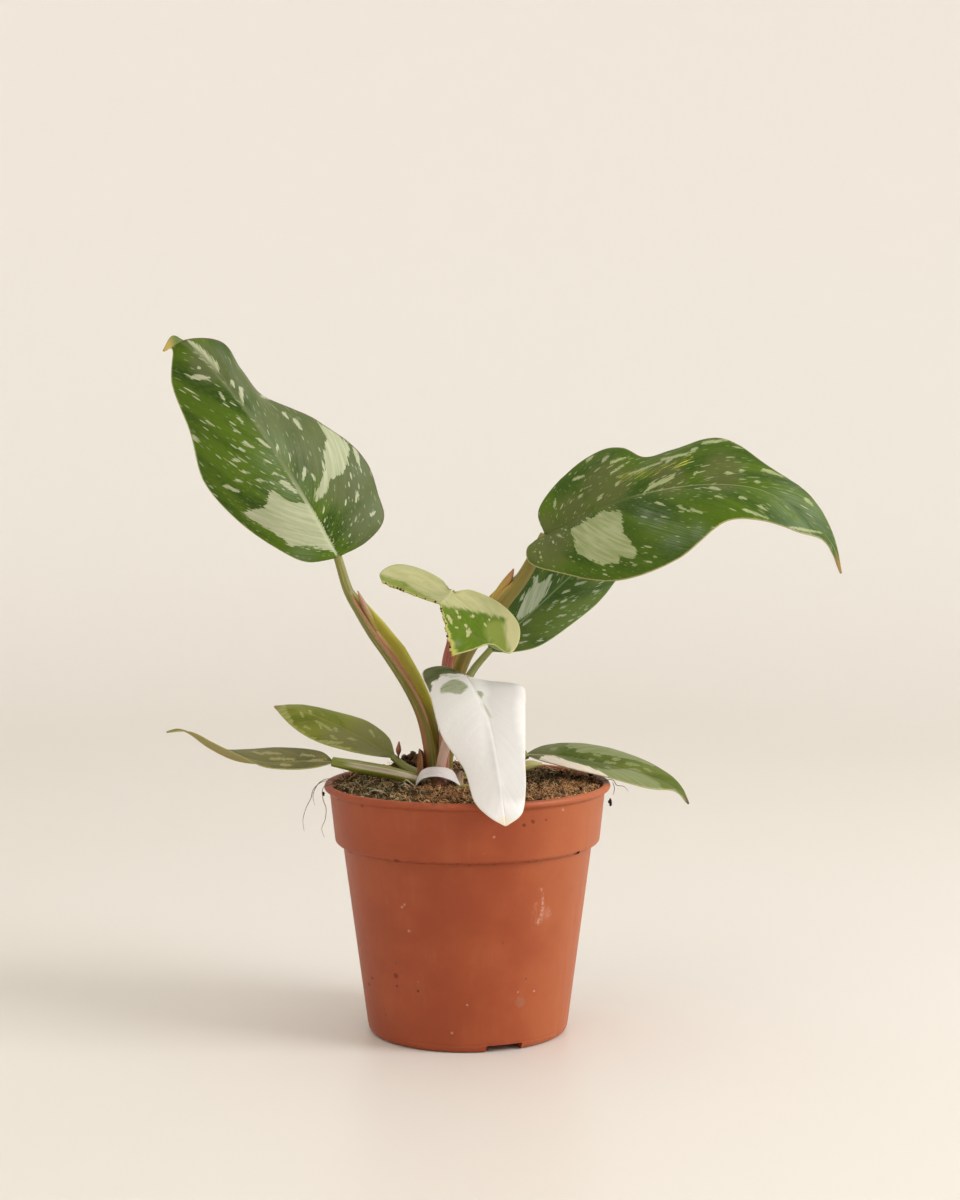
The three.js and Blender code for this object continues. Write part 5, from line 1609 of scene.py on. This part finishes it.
low_right_tissue = leaf_finish(
    "low_right_tissue", deep=(0.06, 0.09, 0.01, 1), fresh=(0.12, 0.15, 0.02, 1), dull_tone_and_painted_light=(0.13, 0.14, 0.06, 1),
    sage=(0.18, 0.21, 0.075, 1), pale=(0.24, 0.27, 0.115, 1), rib=(0.1, 0.13, 0.035, 1),
    rib_foot=(0.4, 0.33, 0.2, 1), rims=[(0.3, 0.32, 0.1, 1), (0.4, 0.38, 0.18, 1)],
    accent=(0.8, 0.7, 0.6, 1), tip=(0.12, 0.07, 0.03, 1), under=(0.3, 0.32, 0.16, 1), jag=0.5, speckle=0.5,
    gloss=0.45,
)
low_right_blade = grow_blade(
    "low_right_blade", low_right_tissue,
    {
        "mid": [[25.5, 12, 114.5], [39.5, 10, 114], [56, 8, 111], [73, 7, 107], [86.5, 6, 101.5],
                [93.5, 6, 94]],
        "left": [[34, 22, 117], [50.5, 26, 117], [72, 22, 112], [85, 14, 106], [91, 9, 100.5]],
        "right": [[32, 4, 112.5], [45, -4, 110], [60, -8, 107], [76, -6, 102.5], [87.5, 0, 100]],
        "arch": [1.6, 1.6],
    },
    rows=110, half_columns=26, ripple=0.25, patches=LOW_RIGHT_PATCHES, streaks=LOW_RIGHT_STREAKS,
    accent=LOW_RIGHT_CREAM, dull_tone_and_painted_light=[(28, 117, 9)], seed=8,
)
seat(low_right_blade, "leaf_low_right_blade")


# Bracts
# Two sheaths of former leaves, left at the stem's foot: a fresh white one bent into an arch in front, and
# a dry brown papery one that clasps the stem at the left.
white_bract_tissue = leaf_finish(
    "white_bract_tissue", deep=(0.64, 0.58, 0.57, 1), fresh=(0.7, 0.67, 0.67, 1), dull_tone_and_painted_light=(0.6, 0.55, 0.52, 1),
    sage=(0.6, 0.6, 0.5, 1), pale=(0.7, 0.7, 0.7, 1), rib=(0.68, 0.63, 0.62, 1),
    rims=[(0.72, 0.69, 0.68, 1), (0.72, 0.69, 0.68, 1)], tip=(0.4, 0.36, 0.16, 1),
    under=(0.5, 0.4, 0.36, 1), speckle=0, gloss=0.48,
)
white_bract = grow_blade(
    "white_bract", white_bract_tissue,
    {
        "mid": [[-21.5, -9, 105], [-18, -13, 109.5], [-12.5, -15, 111.5], [-7, -14, 109.5],
                [-2.5, -11, 104.5]],
        "left": [[-18.5, -9, 111], [-12.5, -11, 112.5], [-6.5, -10, 111]],
        "right": [[-18, -16, 108.5], [-12.5, -18, 109.5], [-7, -17, 108]],
        "arch": [0.8, 0.8],
        "sweep": 1,
    },
    rows=48, half_columns=12, ripple=0.1, seed=9,
)
seat(white_bract, "bract_white")

brown_bract_tissue = leaf_finish(
    "brown_bract_tissue", deep=(0.15, 0.055, 0.018, 1), fresh=(0.36, 0.15, 0.06, 1), dull_tone_and_painted_light=(0.3, 0.18, 0.1, 1),
    sage=(0.4, 0.24, 0.1, 1), pale=(0.45, 0.3, 0.17, 1), rib=(0.12, 0.05, 0.02, 1),
    rims=[(0.3, 0.16, 0.07, 1), (0.3, 0.16, 0.07, 1)], tip=(0.2, 0.09, 0.04, 1),
    under=(0.2, 0.09, 0.04, 1), speckle=0.3, gloss=0.75,
)
brown_bract = grow_blade(
    "brown_bract", brown_bract_tissue,
    {
        "mid": [[-19.5, -3, 104], [-21, -3, 112], [-20, -2, 119]],
        "left": [[-18.5, 3, 110], [-18.5, 3, 116.5]],
        "right": [[-18.5, -8, 110], [-18.5, -8, 116.5]],
        "arch": [0.8, 0.8],
        "sweep": 1,
    },
    rows=40, half_columns=14, ripple=0.5, seed=10,
)
seat(brown_bract, "bract_brown")


# Loose bits round the stem
# What is left of old leaves at the stem's foot: a red-brown sheath base under the white bract, a cream and
# brown node beside it, a green sliver, a pale green stub at the right and a dry bud on a hair-thin stalk.
husk_flesh = stalk_finish(
    "husk_flesh", low=(0.12, 0.035, 0.015, 1), high=(0.3, 0.1, 0.05, 1), streak=(0.4, 0.2, 0.12, 1),
    near_fin=(0.3, 0.1, 0.05, 1),
)
node_flesh = stalk_finish(
    "node_flesh", low=(0.5, 0.38, 0.22, 1), high=(0.16, 0.06, 0.025, 1), streak=(0.55, 0.45, 0.3, 1),
    near_fin=(0.3, 0.1, 0.05, 1),
)
stub_flesh = stalk_finish(
    "stub_flesh", low=(0.36, 0.34, 0.07, 1), high=(0.42, 0.38, 0.13, 1), streak=(0.5, 0.46, 0.24, 1),
    near_fin=(0.5, 0.46, 0.24, 1),
)
OLD_PARTS = {
    "old_sheath_base": (husk_flesh, [[-11, -10, 101, 3.6], [-11, -11, 105, 3.8], [-11, -12, 107.6, 1.2]]),
    "old_node": (node_flesh, [[-3.4, -9.5, 102, 1.6], [-3.2, -10, 108, 1.7], [-2.6, -10.4, 110.6, 0.7]]),
    "green_sliver": (lime_flesh, [[-6.2, -15.5, 104.4, 0.4], [-2, -16, 105, 1], [2.4, -16, 105.9, 0.3]]),
    "green_stub": (
        stub_flesh,
        [[14, 3, 106, 1.8], [21, 3.4, 109.6, 2.5], [27, 3.8, 111.2, 2], [31.5, 4, 111.3, 0.6]],
    ),
    "dry_bud": (husk_flesh, [[-29.2, 10, 105, 0.22], [-29.1, 10, 114, 0.2], [-29.1, 10, 116, 1.1],
                             [-29, 10, 117.6, 1.2], [-28.8, 10, 120.4, 0.15]]),
}
for name, (flesh, path) in OLD_PARTS.items():
    lay(grow_stalk(name, path, (0, -1, 0.2), flesh))


# Loose roots and crumbs
# Hair-thin roots hang over the lip at the left and curl out at the right, three pale ones lie on the moss,
# and crumbs of peat cling to the outside of the pot.
root_finish = Finish("hair_roots", Base_Color=(0.2, 0.11, 0.06, 1), Roughness=0.7, Specular_IOR_Level=0.3)
pale_root_finish = Finish(
    "pale_roots", Base_Color=(0.55, 0.46, 0.32, 1), Roughness=0.6, Specular_IOR_Level=0.3,
)
HAIR_ROOTS = [
    [(-52, -4, 104.6), (-57, -4.5, 106), (-61, -4.6, 105.3), (-64.4, -4, 102), (-65.3, -4, 98.6),
     (-67.4, -4, 94.4), (-68.7, -4, 89.4), (-68.3, -4, 84.7)],
    [(-51, -12, 104.4), (-55, -14, 106), (-59.4, -15, 104.8), (-59.6, -15, 100), (-58.4, -14.6, 96),
     (-58.8, -14.8, 91.4), (-60.2, -15, 87.7), (-59.2, -15, 83.9)],
    [(-53, -2, 104.8), (-58, -2, 106.4), (-62, -1.5, 104.6), (-64.6, -1, 99.5), (-64, -1, 95)],
    [(56, -4, 104.4), (58.8, -4, 106), (61, -4, 105.6), (62.4, -4, 103.7), (65.5, -4, 103), (67.4, -4, 101)],
    [(60.6, -5, 105.2), (61.4, -5, 102.6), (60.9, -5, 99.6)],
]
PALE_ROOTS = [
    [(-26, -19.6, 106.6), (-25.2, -20, 108.6), (-23.4, -20, 107.4), (-21.5, -20, 106)],
    [(-27.5, -21, 106.4), (-25.5, -22, 107.2), (-23, -22.4, 105.8)],
    [(-40, -30, 105.2), (-37, -33, 106.4), (-33, -34, 105.4)],
]
for name, finish, lines, radius in (
    ("hanging_roots", root_finish, HAIR_ROOTS, 0.16), ("pale_roots", pale_root_finish, PALE_ROOTS, 0.28),
):
    tubes = [tube(spline(line, np.linspace(0, 1, 8 * len(line))), radius, sides=5) for line in lines]
    lay(make_piece(name, *joined(tubes), finish))

STUCK_CRUMBS = [
    (59.4, -10, 97.6, 0.9), (59.6, -9, 96.2, 0.6), (59.2, -11.4, 98.8, 0.5), (-60, -6, 101, 0.6),
    (-59.9, -4.6, 100, 0.4), (52.6, 14, 105.9, 1.3), (46.4, -27, 105.8, 0.7), (-49, -30, 105.9, 0.9),
    (-29.5, -44.9, 80.7, 0.7), (18.3, -50.6, 80.5, 0.8), (44.5, -31.4, 80.5, 1), (40.2, -36.6, 80.6, 0.7),
    (-42, -33.4, 80.6, 0.7),
]
stuck = [
    uneven_lump((x, y, z), radius, unevenness=0.6, pitch=1.6, shift=(seed, 0, 0), subdivisions=2)
    for seed, (x, y, z, radius) in enumerate(STUCK_CRUMBS)
]
stuck_crumbs = make_piece("stuck_crumbs", *joined(stuck), crumbs_finish, smooth=False)
lay(stuck_crumbs)
